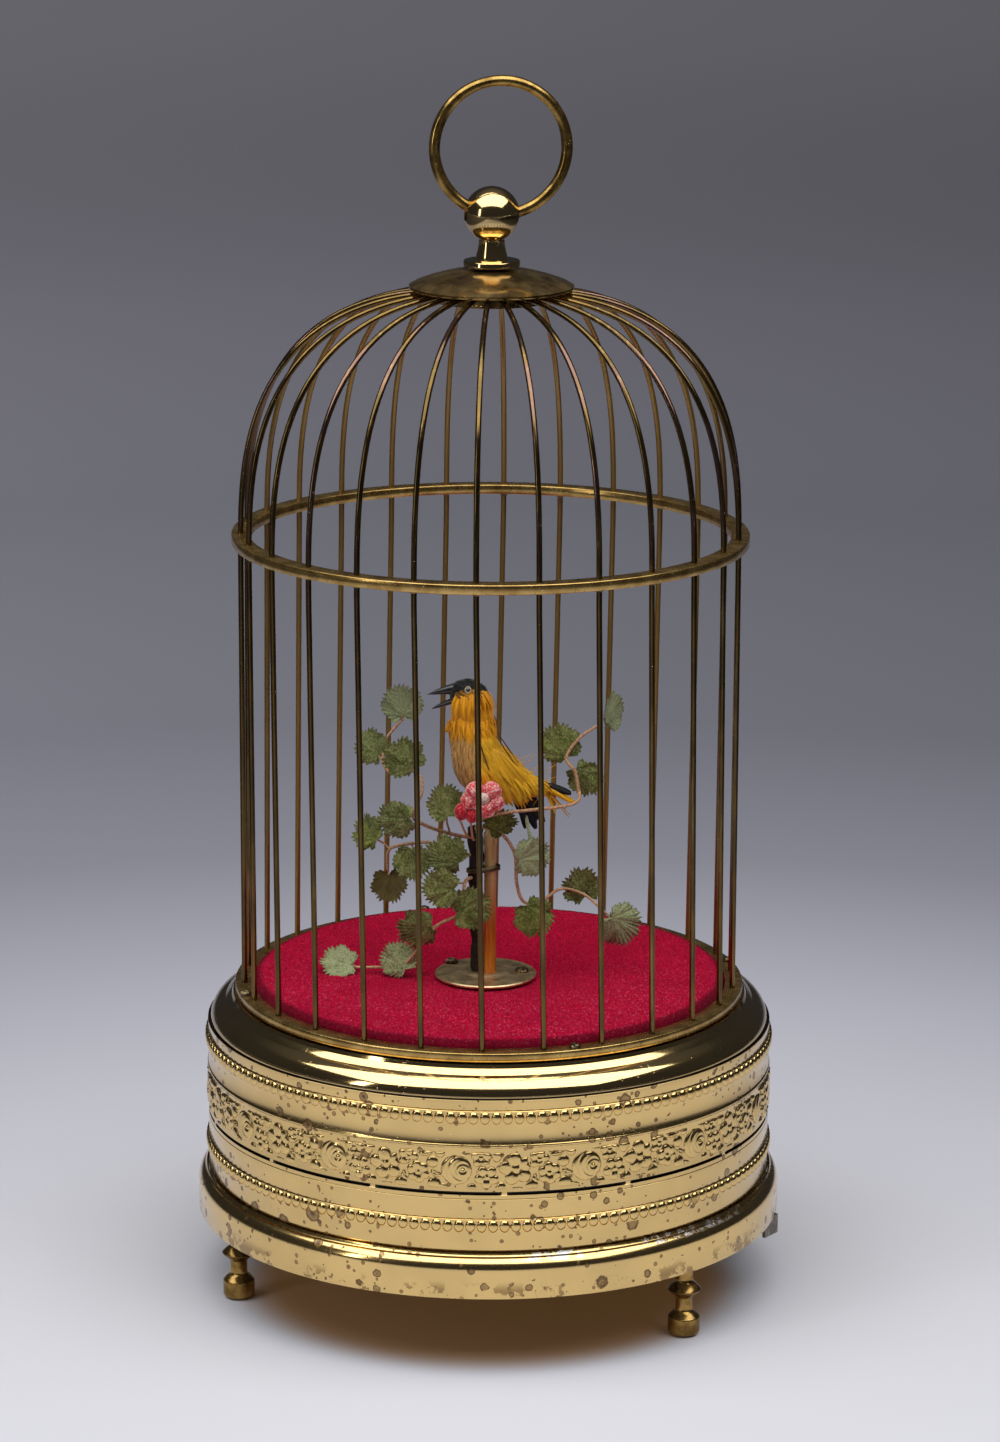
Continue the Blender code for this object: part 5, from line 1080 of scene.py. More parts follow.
def make_floral_band():
    """The embossed band: one repeat as a fine sheet, bent to the drum and set round it by a tree."""
    columns, rows = 122, 38
    xs = np.linspace(0, BAND_LENGTH, columns + 1)
    ys = np.linspace(-BAND_DEPTH / 2, BAND_DEPTH / 2, rows + 1)
    grid_x, grid_y = np.meshgrid(xs, ys)
    height = np.maximum(band_height(grid_x, grid_y), band_height(grid_x + BAND_LENGTH, grid_y))
    height = np.maximum(height, band_height(grid_x - BAND_LENGTH, grid_y))
    height[:, -1] = height[:, 0]
    height *= np.clip((BAND_DEPTH / 2 - np.abs(grid_y)) / 0.35, 0, 1)
    radius = DRUM_R - 0.32 + height
    turn = grid_x / BAND_LENGTH * 2 * pi / BAND_REPEATS
    points = np.stack([radius * np.cos(turn), radius * np.sin(turn), grid_y], -1).reshape(-1, 3)
    wide = columns + 1
    faces = [(r * wide + c, r * wide + c + 1, (r + 1) * wide + c + 1, (r + 1) * wide + c)
             for r in range(rows) for c in range(columns)]
    unit = pattern("band_repeat", points, faces)
    # Painted shade, with dark polish: the relief is lowered on the upper side of each shape, where the
    # height falls away upward
    above = np.clip(-0.3 * np.gradient(height, ys, axis=0), 0, 0.8)
    set_attribute(unit.data, "relief", (height - above).ravel())
    middle = (BAND_LOW + BAND_HIGH) / 2
    tree, row = row_tree("floral_band", unit, BAND_REPEATS, 0.0, middle, radians(-99.8))
    real = tree.geo("RealizeInstances", {"Geometry": row})
    welded = tree.geo("MergeByDistance", {"Geometry": real, "Distance": 1e-6})
    keep(tree.baked(welded, EMBOSSED, 180), "base", "brass_case")


def make_collar():
    """Polished shoulder: upright at its foot, then ever flatter up to the deck."""
    r, low, deck = COLLAR_R, COLLAR_LOW, DECK_Z
    outer = [(r - 0.8, low), (r - 0.1, low), (r, low + 0.08)]
    for radius, start, end, steps in ((3.7, 0, 27, 6), (4.9, 27, 59, 8), (11.0, 59, 72, 5)):
        foot_r, foot_z = outer[-1]
        centre_r, centre_z = foot_r - radius * cos(radians(start)), foot_z - radius * sin(radians(start))
        outer += arc(centre_r, centre_z, radius, start, end, steps)[1:]
    outer += [(59.1, deck), (53.0, deck)]
    inner = [(20.0, deck), (2.4, deck), (2.4, deck - 0.8), (59.6, deck - 0.8), (r - 1.9, low + 3.0),
             (r - 1.0, low)]
    keep(lathe("shoulder", outer + inner, CLEAN_GILT, 256), "base", "brass_case", "top_collar")


# Cage: wires, hoops, cap, finial and carrying ring


def make_hoops():
    """The flat hoops at the wires' feet and where they start to bend, with broken edges."""
    inner, outer = RING_INNER_R, RING_OUTER_R
    for name, low, high, node in (("base_hoop", BASE_RING_LOW, BASE_RING_HIGH, "cage_base_ring"),
                                  ("mid_hoop", MID_RING_LOW, MID_RING_HIGH, "mid_ring")):
        profile = [(inner + 0.12, low), (outer - 0.15, low), (outer, low + 0.15), (outer, high - 0.25)]
        profile += [(outer - 0.08, high - 0.08), (outer - 0.25, high), ((inner + outer) / 2, high)]
        profile += [(inner + 0.2, high), (inner, high - 0.2), (inner, low + 0.12)]
        keep(lathe(name, profile, RING_BRASS, 256, smooth=50), "base", "brass_cage", node)


def make_wires():
    """A tree draws one bar, straight and then arched in to the cap, and turns copies round the cage."""
    steps, straight_share = 46, 0.42
    tree = Growth("cage_wires", Bars=BARS, Circle=BAR_CIRCLE_R * MM, Foot=(BASE_RING_LOW + 0.3) * MM,
                  Spring=DOME_Z * MM, Rise=DOME_RISE * MM, End=BAR_END_R * MM, Thickness=BAR_R * MM)
    share = tree.geo("InputIndex") / float(steps)
    arch = (share - straight_share).most(0.0) / (1 - straight_share)
    reach = (tree["End"] / tree["Circle"]) ** (DOME_SQUARENESS / 2)
    turn = arch * reach.math("ARCCOSINE")
    power = 2 / DOME_SQUARENESS
    out = turn.math("COSINE").most(0.0) ** power * tree["Circle"]
    up = turn.math("SINE").most(0.0) ** power * tree["Rise"] + tree["Spring"]
    straight = (share / straight_share).least(1.0)
    height = tree["Foot"] + (tree["Spring"] - tree["Foot"]) * straight + (up - tree["Spring"])
    twist = straight.to(BAR_TURN_LOW, BAR_TURN_HIGH)
    line = tree.geo("MeshLine", {"Count": steps + 1})
    place = tree.xyz(out * twist.math("COSINE"), out * twist.math("SINE"), height)
    shaped = tree.geo("SetPosition", {"Geometry": line, "Position": place})
    curve = tree.geo("MeshToCurve", {"Mesh": shaped})
    circle = tree.geo("CurvePrimitiveCircle", {"Resolution": 12, "Radius": tree["Thickness"]})
    bar = tree.geo("CurveToMesh", {"Curve": curve, "Profile Curve": circle, "Fill Caps": True})
    where = tree.geo("MeshLine", {"Count": tree["Bars"], "Offset": (0.0, 0.0, 0.0)})
    spin = tree.geo("InputIndex") * (2 * pi) / tree["Bars"] - pi / 2
    wires = tree.geo("InstanceOnPoints", {"Points": where, "Instance": bar,
                                          "Rotation": tree.xyz(0.0, 0.0, spin)})
    keep(tree.baked(wires, WIRE, 60), "base", "brass_cage", *[f"bar_{k:02d}" for k in range(1, BARS + 1)])


def lump(rng, size, squash):
    """A small uneven bead of solder about the origin."""
    bm = bmesh.new()
    bmesh.ops.create_icosphere(bm, subdivisions=2, radius=size)
    for vert in bm.verts:
        vert.co *= 1 + 0.18 * (rng.random() - 0.5)
        vert.co.z *= squash
    points = np.array([vert.co for vert in bm.verts])
    faces = [[vert.index for vert in face.verts] for face in bm.faces]
    bm.free()
    return points, faces


def make_solder():
    """Solder under the middle hoop and under the cap, at each wire."""
    rng = random.Random(11)
    points, faces = [], []
    for k in range(BARS):
        turn = 2 * pi * k / BARS - pi / 2 + BAR_TURN_HIGH
        drops = [(BAR_CIRCLE_R, MID_RING_LOW - 0.1, 1.0, 0.6),
                 (15.6 + rng.random(), CAP_LOW - 0.1, 0.7, 0.5)]
        for r, z, size, squash in drops:
            shape, sides = lump(rng, size * (0.85 + 0.3 * rng.random()), squash)
            shape = shape + (r * cos(turn), r * sin(turn), z)
            faces += [[len(points) + i for i in face] for face in sides]
            points += shape.tolist()
    keep(mesh_piece("solder_joints", points, faces, SOLDER, 180), "base", "brass_cage")


def make_cap():
    """Domed cap with a rounded edge, over the hub that the wires end in."""
    rise, bore, hub_r, steps = 3.9, 2.4, 13.2, 16
    radius = (CAP_R**2 + rise**2) / (2 * rise)
    outer = [(hub_r, CAP_LOW + 0.05), (CAP_R - 0.5, CAP_LOW), (CAP_R - 0.12, CAP_LOW + 0.1)]
    outer += [(CAP_R, CAP_LOW + 0.35), (CAP_R - 0.02, CAP_LOW + 0.75)]
    for i in range(1, steps + 1):
        r = CAP_R - 0.25 + (bore - CAP_R + 0.25) * i / steps
        outer.append((r, CAP_HIGH - radius + sqrt(radius**2 - r**2)))
    hub = [(bore, CAP_LOW - 2.6), (hub_r, CAP_LOW - 2.6)]
    keep(lathe("cap", outer + hub, OLD_BRASS, 128), "base", "brass_cage", "cap")


def make_finial():
    """Collar disc, flared neck and polished ball in one, with the ring's bore cut through the ball."""
    profile = [(0, DISC_LOW - 5.5), (2.0, DISC_LOW - 5.5), (2.0, DISC_LOW), (DISC_R - 0.15, DISC_LOW)]
    profile += [(DISC_R, DISC_LOW + 0.15), (DISC_R, DISC_HIGH - 0.35), (DISC_R - 0.15, DISC_HIGH - 0.1)]
    profile += [(DISC_R - 0.5, DISC_HIGH), (NECK_LOW_R + 0.35, DISC_HIGH),
                (NECK_LOW_R + 0.1, DISC_HIGH + 0.12)]
    profile += [(NECK_LOW_R - 0.05, DISC_HIGH + 0.5), (NECK_LOW_R - 0.4, DISC_HIGH + 1.9)]
    profile += [(NECK_HIGH_R + 0.02, DISC_HIGH + 3.6)]
    start = -degrees(atan2(sqrt(BALL_R**2 - NECK_HIGH_R**2), NECK_HIGH_R))
    profile += arc(0, BALL_Z, BALL_R, start, 88, 30)
    profile += [(0, BALL_Z + BALL_R)]
    finial = lathe("finial", profile, CLEAN_GILT, 64, closed=False, smooth=40)
    across = Vector((cos(FINIAL_TURN) * cos(HANDLE_LEAN), sin(FINIAL_TURN) * cos(HANDLE_LEAN),
                     -sin(HANDLE_LEAN)))
    path = [np.array(across) * s + (0, 0, BALL_Z) for s in np.linspace(-9, 9, 5)]
    points, faces, _ = tube_mesh(path, 2.25, 32)
    bore = mesh_piece("bore", points, faces, CLEAN_GILT)
    outward(bore.data)
    cut = finial.modifiers.new("bore", "BOOLEAN")
    cut.operation, cut.solver, cut.object = "DIFFERENCE", "EXACT", bore
    graph = bpy.context.evaluated_depsgraph_get()
    mesh = bpy.data.meshes.new_from_object(finial.evaluated_get(graph), depsgraph=graph)
    bpy.data.objects.remove(bore)
    bpy.data.objects.remove(finial)
    keep(finished("finial", mesh, CLEAN_GILT, 40), "base", "brass_cage", "ball_finial")


def make_carrying_ring():
    """Hand-bent wire ring, a little uneven, which hangs tilted through the ball's bore."""
    steps, sides, within = 120, 16, 0.985
    points, faces = [], []
    for i in range(steps):
        turn = 2 * pi * i / steps
        out = Vector((cos(turn), 0, sin(turn)))
        for k in range(sides):
            around = 2 * pi * k / sides
            wire = HANDLE_WIRE_R * (1 + 0.012 * sin(5 * turn + 1) + 0.01 * sin(9 * turn))
            aside = Vector((0, wire * within * sin(around), 0))
            points.append(out * (HANDLE_R + wire * cos(around) * within) + aside)
            j, m = (i + 1) % steps, (k + 1) % sides
            faces.append((i * sides + k, i * sides + m, j * sides + m, j * sides + k))
    lift = Matrix.Translation((0, 0, HANDLE_R))
    turn = Matrix.Rotation(FINIAL_TURN, 4, "Z") @ Matrix.Rotation(HANDLE_LEAN, 4, "Y")
    place = Matrix.Translation((0, 0, BALL_Z)) @ turn @ lift
    points = [place @ point for point in points]
    ring = mesh_piece("carrying_ring", [tuple(p) for p in points], faces, HANDLE_BRASS, 180)
    outward(ring.data)
    keep(ring, "handle_ring", "brass_cage", "handle_ring")


# Deck: velvet pad, flange, post and screws


def slotted_screw(size, height):
    """A round-headed screw with a slot, facing up, about the origin."""
    profile = [(0, -0.3), (size, -0.3), (size, height * 0.35), (size * 0.9, height * 0.72)]
    profile += [(size * 0.6, height * 0.95), (0, height)]
    points, faces = lathe_mesh(profile, 16, closed=False)
    points = np.array(points)
    across = np.abs(points[:, 1]) < size * 0.2
    points[across & (points[:, 2] > height * 0.6), 2] -= height * 0.45
    return points, faces


def make_screws():
    """Slotted screws, set by a tree on points that carry their turn."""
    places = [(polar(57.6, -74.4), BASE_RING_HIGH, 1.25, 0.4),
              (polar(56.9, 19.7), BASE_RING_HIGH, 1.25, 1.2)]
    places += [(polar(57.4, 103.2), BASE_RING_HIGH, 1.25, 2.3),
               (polar(57.4, 196.0), BASE_RING_HIGH, 1.25, 0.8)]
    places += [((-8.7, 7.0), FLANGE_HIGH, 1.55, 0.5), ((7.6, 0.1), FLANGE_HIGH, 1.55, 1.9)]
    points, faces = slotted_screw(1.0, 1.05)
    head = pattern("slotted_head", points, faces)
    mesh = bpy.data.meshes.new("screw_places")
    mesh.from_pydata([(x * MM, y * MM, z * MM) for (x, y), z, _, _ in places], [], [])
    set_attribute(mesh, "size", [size for _, _, size, _ in places])
    set_attribute(mesh, "turn", [turn for _, _, _, turn in places])
    tree = Growth("slotted_screws", Head=head)
    size = tree.named("size")
    sockets = {"Points": tree["Geometry"], "Instance": tree.shape("Head"),
               "Rotation": tree.xyz(0.0, 0.0, tree.named("turn")), "Scale": tree.xyz(size, size, 1.0)}
    screws = tree.geo("InstanceOnPoints", sockets)
    keep(tree.baked(screws, SCREW_STEEL, 40, bpy.data.objects.new("screw_places", mesh)), "base", "steel")


def polar(radius, bearing_degrees):
    """A place by its bearing from the front, counted towards the right."""
    turn = radians(bearing_degrees)
    return radius * sin(turn), -radius * cos(turn)


def make_carpet():
    """The pad, sunk about the flange and rolled at its edge, and the pile that a tree grows on it."""
    r, low, top = CARPET_R, CARPET_LOW, CARPET_HIGH + 1.45
    bore, sunk, sunk_r, slope = 2.4, CARPET_HIGH - 0.35, 12.0, 22.0
    profile = [(bore, low), (r - 0.4, low), (r - 0.05, low + 0.4), (r, low + 1.0)]
    profile += arc(r - 1.8, top - 1.8, 1.8, 10, 90, 7)
    for k in range(22, 5, -1):
        at = r * k / 24
        profile.append((at, sunk + (top - sunk) * min(1.0, (at - sunk_r) / slope) ** 0.6))
    profile += [(sunk_r, sunk), (8.0, sunk), (bore, sunk)]
    pad = lathe("velvet_pad", profile, VELVET, 160, smooth=60)
    blade = pattern("pile_tuft", [(0.13, 0, 0), (-0.065, 0.11, 0), (-0.065, -0.11, 0), (0.03, 0.02, 0.45)],
                    [(0, 1, 3), (1, 2, 3), (2, 0, 3)])
    tree = Growth("velvet_pile", Spacing=0.31 * MM, Seed=5, Tuft=blade)
    up = tree.parts_of(tree.geo("InputNormal"))[2]
    sockets = {"Mesh": tree["Geometry"], "Selection": up > 0.3, "Distance Min": tree["Spacing"],
               "Density Max": 9.0e6, "Seed": tree["Seed"]}
    spread = tree.geo("DistributePointsOnFaces", sockets, {"distribute_method": "POISSON"})
    lean = tree.xyz(tree.random(-0.45, 0.45, 1), tree.random(-0.45, 0.45, 2), tree.random(0.0, 6.28, 3))
    scale = tree.xyz(1.0, 1.0, tree.random(0.65, 1.15, 4))
    sockets = {"Points": spread, "Instance": tree.shape("Tuft"), "Rotation": lean, "Scale": scale}
    fibres = tree.baked(tree.geo("InstanceOnPoints", sockets), VELVET, 180, pad)
    keep(pad, "base", "velvet_crimson", "carpet")
    keep(fibres, "base", "velvet_crimson")


def make_stand():
    """Screwed flange with a raised ring, and the copper tube with its sleeve joint."""
    r, low, top = FLANGE_R, FLANGE_LOW, FLANGE_HIGH
    profile = [(0, low), (r - 0.2, low), (r, low + 0.15), (r, top - 0.3), (r - 0.25, top - 0.06),
               (r - 0.8, top)]
    profile += [(6.0, top), (5.4, top + 0.06), (4.9, top + 0.32), (4.4, top + 0.5), (3.9, top + 0.5)]
    profile += [(3.4, top + 0.3), (2.9, top + 0.1), (0, top)]
    flange = lathe("flange", profile, FLANGE_BRASS, 96, closed=False, at=(FLANGE_X, 0, 0))
    r, bore, joint = POST_R, 0.85, 103.4
    profile = [(bore, top - 2), (r, top - 2), (r, joint), (r + 0.14, joint + 0.2), (r + 0.16, joint + 2.8)]
    profile += [(r, joint + 3.0), (r - 0.12, joint + 3.2), (r - 0.12, POST_TOP - 0.2), (r - 0.3, POST_TOP)]
    post = lathe("post", profile + [(bore, POST_TOP)], COPPER, 32, at=(POST_X, 0, 0))
    keep(flange, "base", "brass_cage")
    keep(post, "base", "copper", "stand")


# Spray: trunk, paper-wrapped wires, velvet leaves, flower and buds

# Courses of the spray's wires, from the trunk out, with heights above the flange
BRANCHES = {
    "left_high": [(-3.3, 0, 31.9), (-9, -1.5, 33.4), (-15, -3, 35.9), (-17.4, -4, 38.4), (-15.4, -3.4, 44.4),
                  (-17, -1, 47.9), (-22.5, 2, 46.9), (-24.4, 3.4, 48.9), (-23.9, 5, 53.9), (-20, 6, 58.7)],
    "left_mid": [(-3.3, 0, 27.9), (-8, -2, 28.9), (-13, -2.5, 31.4), (-18, -1, 30.9), (-23, 1, 28.9),
                 (-23.5, 2.4, 23.9)],
    "left_low": [(-3.3, 0, 22.9), (-5.6, -4, 22.4), (-6, -6.5, 16.9), (-8, -6.5, 14.9), (-12, -6.8, 12.9),
                 (-16, -5.5, 7.4), (-20, -3.6, 2.5), (-26.5, -2.6, 1.7), (-31, -2, 1.5)],
    "right_low": [(-3.3, 0, 33.4), (-1.5, -2, 35.1), (2.5, -2.4, 33.9), (5.8, -2, 28.9), (6.3, -2.4, 21.9),
                  (8, -2, 17.4),
                  (12, 0, 16.9), (16.5, 3, 19.1), (22, 4, 17.4), (26.5, 0.5, 14.4)],
    "perch": [(-3.3, 0, 32.9), (-2.6, -2.6, 36.0), (0.2, -4.2, 38.4), (3.8, -5.0, 39.4), (9.7, -4.8, 40.0),
              (15.9, -4.4, 40.6),
              (19.4, -2.6, 41.0), (20.6, 0.4, 41.4), (20.6, 3.2, 42.4)],
    "right_high": [(20.5, 3.2, 41.9), (19.6, 3.6, 46.9), (17.6, 4.4, 49.9), (20.5, 4.8, 54.5),
                   (25.4, 5, 57.9)],
}

# Leaves: centre, where the stalk leaves its wire, size, turn and tip in degrees, how pale (below 0 if the
# brown underside shows) and how far folded
LEAVES = [
    ((-20.2, 6, 62.4), (-20, 6, 58.7), 9.2, 0, 8, 0.9, 0.1),
    ((-27.3, 5, 52.2), (-24.4, 3.4, 48.9), 8.4, -20, 0, 0.35, 0.3),
    ((-19.6, -2, 51.4), (-17, -1, 47.9), 9.6, 10, 5, 0.3, 0.15),
    ((-10.2, -4, 41.3), (-9, -1.5, 33.4), 8.6, 15, -10, 0.3, 0.3),
    ((-21.4, -6, 37.3), (-17.4, -4, 38.4), 9, -5, 10, 0.35, 0.1),
    ((-28, 3, 32.5), (-23, 1, 28.9), 8.2, -35, -15, 0.05, 0.7),
    ((-17.7, -4, 27.3), (-18, -1, 30.9), 8.4, 5, -10, 0.3, 0.2),
    ((-22.7, 3, 19.6), (-23.5, 2.4, 23.9), 8.4, -15, -30, -0.1, 0.6),
    ((-9.9, -7, 29.6), (-8, -2, 28.9), 9.6, 0, 5, 0.3, 0.1),
    ((-11, -9, 22.6), (-5.6, -4, 22.4), 8.8, -10, 0, 0.3, 0.2),
    ((-4.2, -8, 17.5), (-6, -6.5, 16.9), 9.6, 5, -5, 0.25, 0.15),
    ((-16.5, -7, 11.7), (-12, -6.8, 12.9), 9.4, 0, 10, 0.3, 0.1),
    ((-21, -4, 4.1), (-20, -3.6, 2.5), 8.2, 0, -20, 0.7, 0.2),
    ((-34.6, -2, 2.5), (-31, -2, 1.8), 8.6, 5, -50, 0.85, 0.3),
    ((2.4, -4, 36.9), (-1.5, -2, 35.1), 8, 10, 20, 0.0, 0.4),
    ((9.8, -5, 28.9), (5.8, -2, 28.9), 9, 20, 5, 0.9, 0.35),
    ((10.5, -3, 14), (8, -2, 17.4), 9.2, 10, -15, 0.1, 0.4),
    ((21.2, 5, 19.5), (22, 4, 17.4), 9, 10, 5, 0.3, 0.3),
    ((30.8, -2, 11.7), (26.5, 0.5, 14.4), 9.8, 20, 0, 0.75, 0.15),
    ((16.1, 5, 53.1), (17.6, 4.4, 49.9), 9.4, 0, 0, 0.25, 0.1),
    ((21.9, 4.6, 44.9), (19.6, 3.6, 46.9), 8.6, -15, 5, 0.3, 0.35),
    ((27.1, 5, 60.9), (25.4, 5, 57.9), 9, 62, 0, 0.8, 0.5),
]


# How much larger the leaves are cut than the table says, and the saw teeth, rings and steps of each
LEAF_GROWTH = 1.13
LEAF_TEETH, LEAF_RINGS, LEAF_STEPS = 28, 6, 196


def lifted(point):
    """A point of the spray, from its height above the flange to its height above the floor."""
    return (point[0], point[1], point[2] + FLANGE_HIGH)


def leaf_outline(t, seed):
    """Edge of a leaf at an angle from its stalk, as a share of its half width: round, weakly lobed, sawn."""
    notch = max(0.0, 1 - abs((t + pi) % (2 * pi) - pi) / 0.42)
    deep = 0.10 + 0.08 * (seed * 7 % 3)
    lobe = abs(sin(3.5 * t + 0.4 * (seed % 4))) ** 0.5
    count, saw = divmod(t * LEAF_TEETH / (2 * pi), 1.0)
    tooth = saw / 0.7 if saw < 0.7 else (1 - saw) / 0.3
    depth = 0.06 + 0.09 * (0.5 + 0.5 * sin(count * 2.4 + seed * 1.3)) + 0.11 * (abs(t - pi) < 1.3)
    return (1 - deep + deep * lobe) * (1 - depth + depth * tooth) * (1 - 0.34 * notch**0.7)


def leaf_mesh(centre, root, size, turn, tip, tone, fold, seed):
    """A fan leaf that spreads from its stalk's end, sawn all round: its points, faces and attributes."""
    rng = random.Random(seed)
    centre, root = np.array(lifted(centre)), np.array(lifted(root))
    turned = Matrix.Rotation(radians(turn), 3, "Z") @ Matrix.Rotation(radians(tip), 3, "X")
    across, up, facing = (np.array(turned @ Vector(axis)) for axis in ((1, 0, 0), (0, 0, 1), (0, -1, 0)))
    stalk = root - centre
    lean = atan2(stalk.dot(across), stalk.dot(up))
    half = size * LEAF_GROWTH / 2
    seat = np.array([0.0, 0.62 * half])
    points, tones, veins, edges = [], [], [], []
    for i in range(LEAF_RINGS + 1):
        share = i / LEAF_RINGS
        for k in range(LEAF_STEPS):
            t = 2 * pi * k / LEAF_STEPS
            edge = half * leaf_outline(t, seed)
            x, y = seat + (np.array([edge * sin(t), edge * cos(t)]) - seat) * share
            spread = atan2(x - seat[0], seat[1] - y + 1e-6)
            rib = cos(spread * 7 + seed) if abs(spread) < 1.9 else 0.0
            curl = (0.14 - 0.34 * ((seed * 5 % 7) / 6)) * half * share**3
            wave = 0.05 * half * share**2 * sin(4 * t + seed * 1.7) + 0.03 * half * share * sin(7 * t + seed)
            crease = fold * 0.42 * abs(x) * (1 if seed % 2 else -1)
            raised = curl + wave + crease + 0.025 * rib * share * (1.2 - share)
            flat_x, flat_y = x * cos(lean) + y * sin(lean), -x * sin(lean) + y * cos(lean)
            points.append(centre + across * flat_x + up * flat_y + facing * raised)
            tones.append(tone + 0.25 * (rng.random() - 0.5))
            veins.append(max(0.0, rib) ** 6 * (0.1 < share < 0.9))
            edges.append(share)
    faces = []
    for i in range(LEAF_RINGS):
        for k in range(LEAF_STEPS):
            m = (k + 1) % LEAF_STEPS
            inner, outer = i * LEAF_STEPS, (i + 1) * LEAF_STEPS
            quad = (inner + k, outer + k, outer + m, inner + m)
            faces.append((0, outer + k, outer + m) if i == 0 else quad)
    count = len(points)
    back = [point - facing * 0.16 for point in points]
    faces += [tuple(reversed([count + v for v in face])) for face in faces]
    top = LEAF_RINGS * LEAF_STEPS
    for k in range(LEAF_STEPS):
        m = (k + 1) % LEAF_STEPS
        faces.append((top + k, count + top + k, count + top + m, top + m))
    unders = [0.8 if tone < 0 else 0.0] * count + [0.85] * count
    return points + back, faces, tones * 2, veins * 2, unders, edges * 2


def make_leaves():
    """All leaves as one piece. Points that no face uses are dropped."""
    points, faces, marks = [], [], {"tone": [], "vein": [], "under": [], "edge": []}
    for index, leaf in enumerate(LEAVES):
        found, sides, *values = leaf_mesh(*leaf, seed=index)
        used = sorted({v for face in sides for v in face})
        place = {v: len(points) + i for i, v in enumerate(used)}
        faces += [[place[v] for v in face] for face in sides]
        points += [tuple(found[v]) for v in used]
        for key, value in zip(marks, values):
            marks[key] += [value[v] for v in used]
    leaves = mesh_piece("velvet_leaves", points, faces, LEAF, 60)
    for name, values in marks.items():
        set_attribute(leaves.data, name, values)
    keep(leaves, "base", "velvet_leaf", "foliage")


def make_stems():
    """Paper-wrapped branches, stalks of leaves and flowers, and the pale twig before the post."""
    rng = random.Random(3)
    stems = []
    for name, path in BRANCHES.items():
        run = smooth_path([lifted(p) for p in path], 8)
        stems.append(tube(name, run, np.linspace(0.44, 0.34, len(run)), STEM, 8))
    for centre, root, size, *_ in LEAVES:
        a, b = np.array(lifted(root)), np.array(lifted(centre))
        b = b + (a - b) * min(0.9, 0.60 * size * LEAF_GROWTH / 2 / np.linalg.norm(a - b))
        bow = (a + b) / 2 + np.array([rng.uniform(-0.4, 0.4), 0.3, rng.uniform(-0.4, 0.4)])
        stems.append(tube("stalk", smooth_path([a, bow, b], 4), 0.24, STEM, 6))
    stalks = [((-0.8, -9.0, 43.5), (-3.3, -0.4, 33.0)), ((-6.9, -9.2, 39.0), (-3.3, -0.4, 32.0)),
              ((-4.3, -9.4, 38.2), (-3.3, -0.4, 31.6))]
    for start, end in stalks:
        a, b = np.array(lifted(start)), np.array(lifted(end))
        course = smooth_path([a, (a + b) / 2 + (0, -0.6, -1.5), b], 5)
        stems.append(tube("flower_stalk", course, 0.28, STEM, 6))
    twig = [(8.2, 1.6, 38.6), (8.6, -2.0, 36.4), (9.2, -3.4, 33.8), (9.5, -3.9, 31.2)]
    twig = smooth_path([lifted(point) for point in twig], 5)
    stems.append(tube("pale_twig", twig, 0.42, PALE_STEM, 6, 0.7))
    keep(joined("spray_wires", stems), "base", "velvet_leaf")


def make_trunk():
    """The trunk, wound with dark paper and thicker upward, and the wire that ties it to the post."""
    middle, steps = -3.1, 24
    run, radii = [], []
    for i in range(steps + 1):
        height = FLANGE_HIGH + 0.2 + 34.2 * i / steps
        run.append((middle - 0.2 * sin(i * 0.9), 0.15 * cos(i * 1.3), height))
        radii.append(0.95 + 0.9 * (i / steps) ** 0.8 + 0.12 * sin(i * 2.1))
    radii = np.interp(np.linspace(0, steps, 3 * steps + 1), range(steps + 1), radii)
    trunk = tube("trunk", smooth_path(run, 3), radii, TRUNK, 12, 1.6)
    coil = [(middle + 1.7 + 3.7 * cos(t), 2.3 * sin(t), FLANGE_HIGH + 24.2 + 0.35 * cos(t) + t * 0.07)
            for t in np.linspace(0, 4.4 * pi, 66)]
    tie = tube("wire_tie", coil, 0.27, SCREW_STEEL, 6)
    keep(joined("trunk", [trunk, tie]), "base", "velvet_leaf")


def fluffy(centre, size, squash, rough, waves, rng):
    """A downy ball, a fine sphere whose points stand out unevenly: its points, faces and crests."""
    bm = bmesh.new()
    bmesh.ops.create_icosphere(bm, subdivisions=4, radius=1.0)
    points, crests = [], []
    for vert in bm.verts:
        d = vert.co.normalized()
        lumps = sum(sin(d.dot(axis) * 7 + shift) for axis, shift in waves) / len(waves)
        crest = 0.5 + 0.5 * lumps + rng.uniform(-0.28, 0.28)
        scale = 1 + rough * (crest - 0.5)
        points.append([centre[i] + d[i] * size * squash[i] * scale for i in range(3)])
        crests.append(crest)
    faces = [[vert.index for vert in face.verts] for face in bm.faces]
    bm.free()
    return points, faces, crests


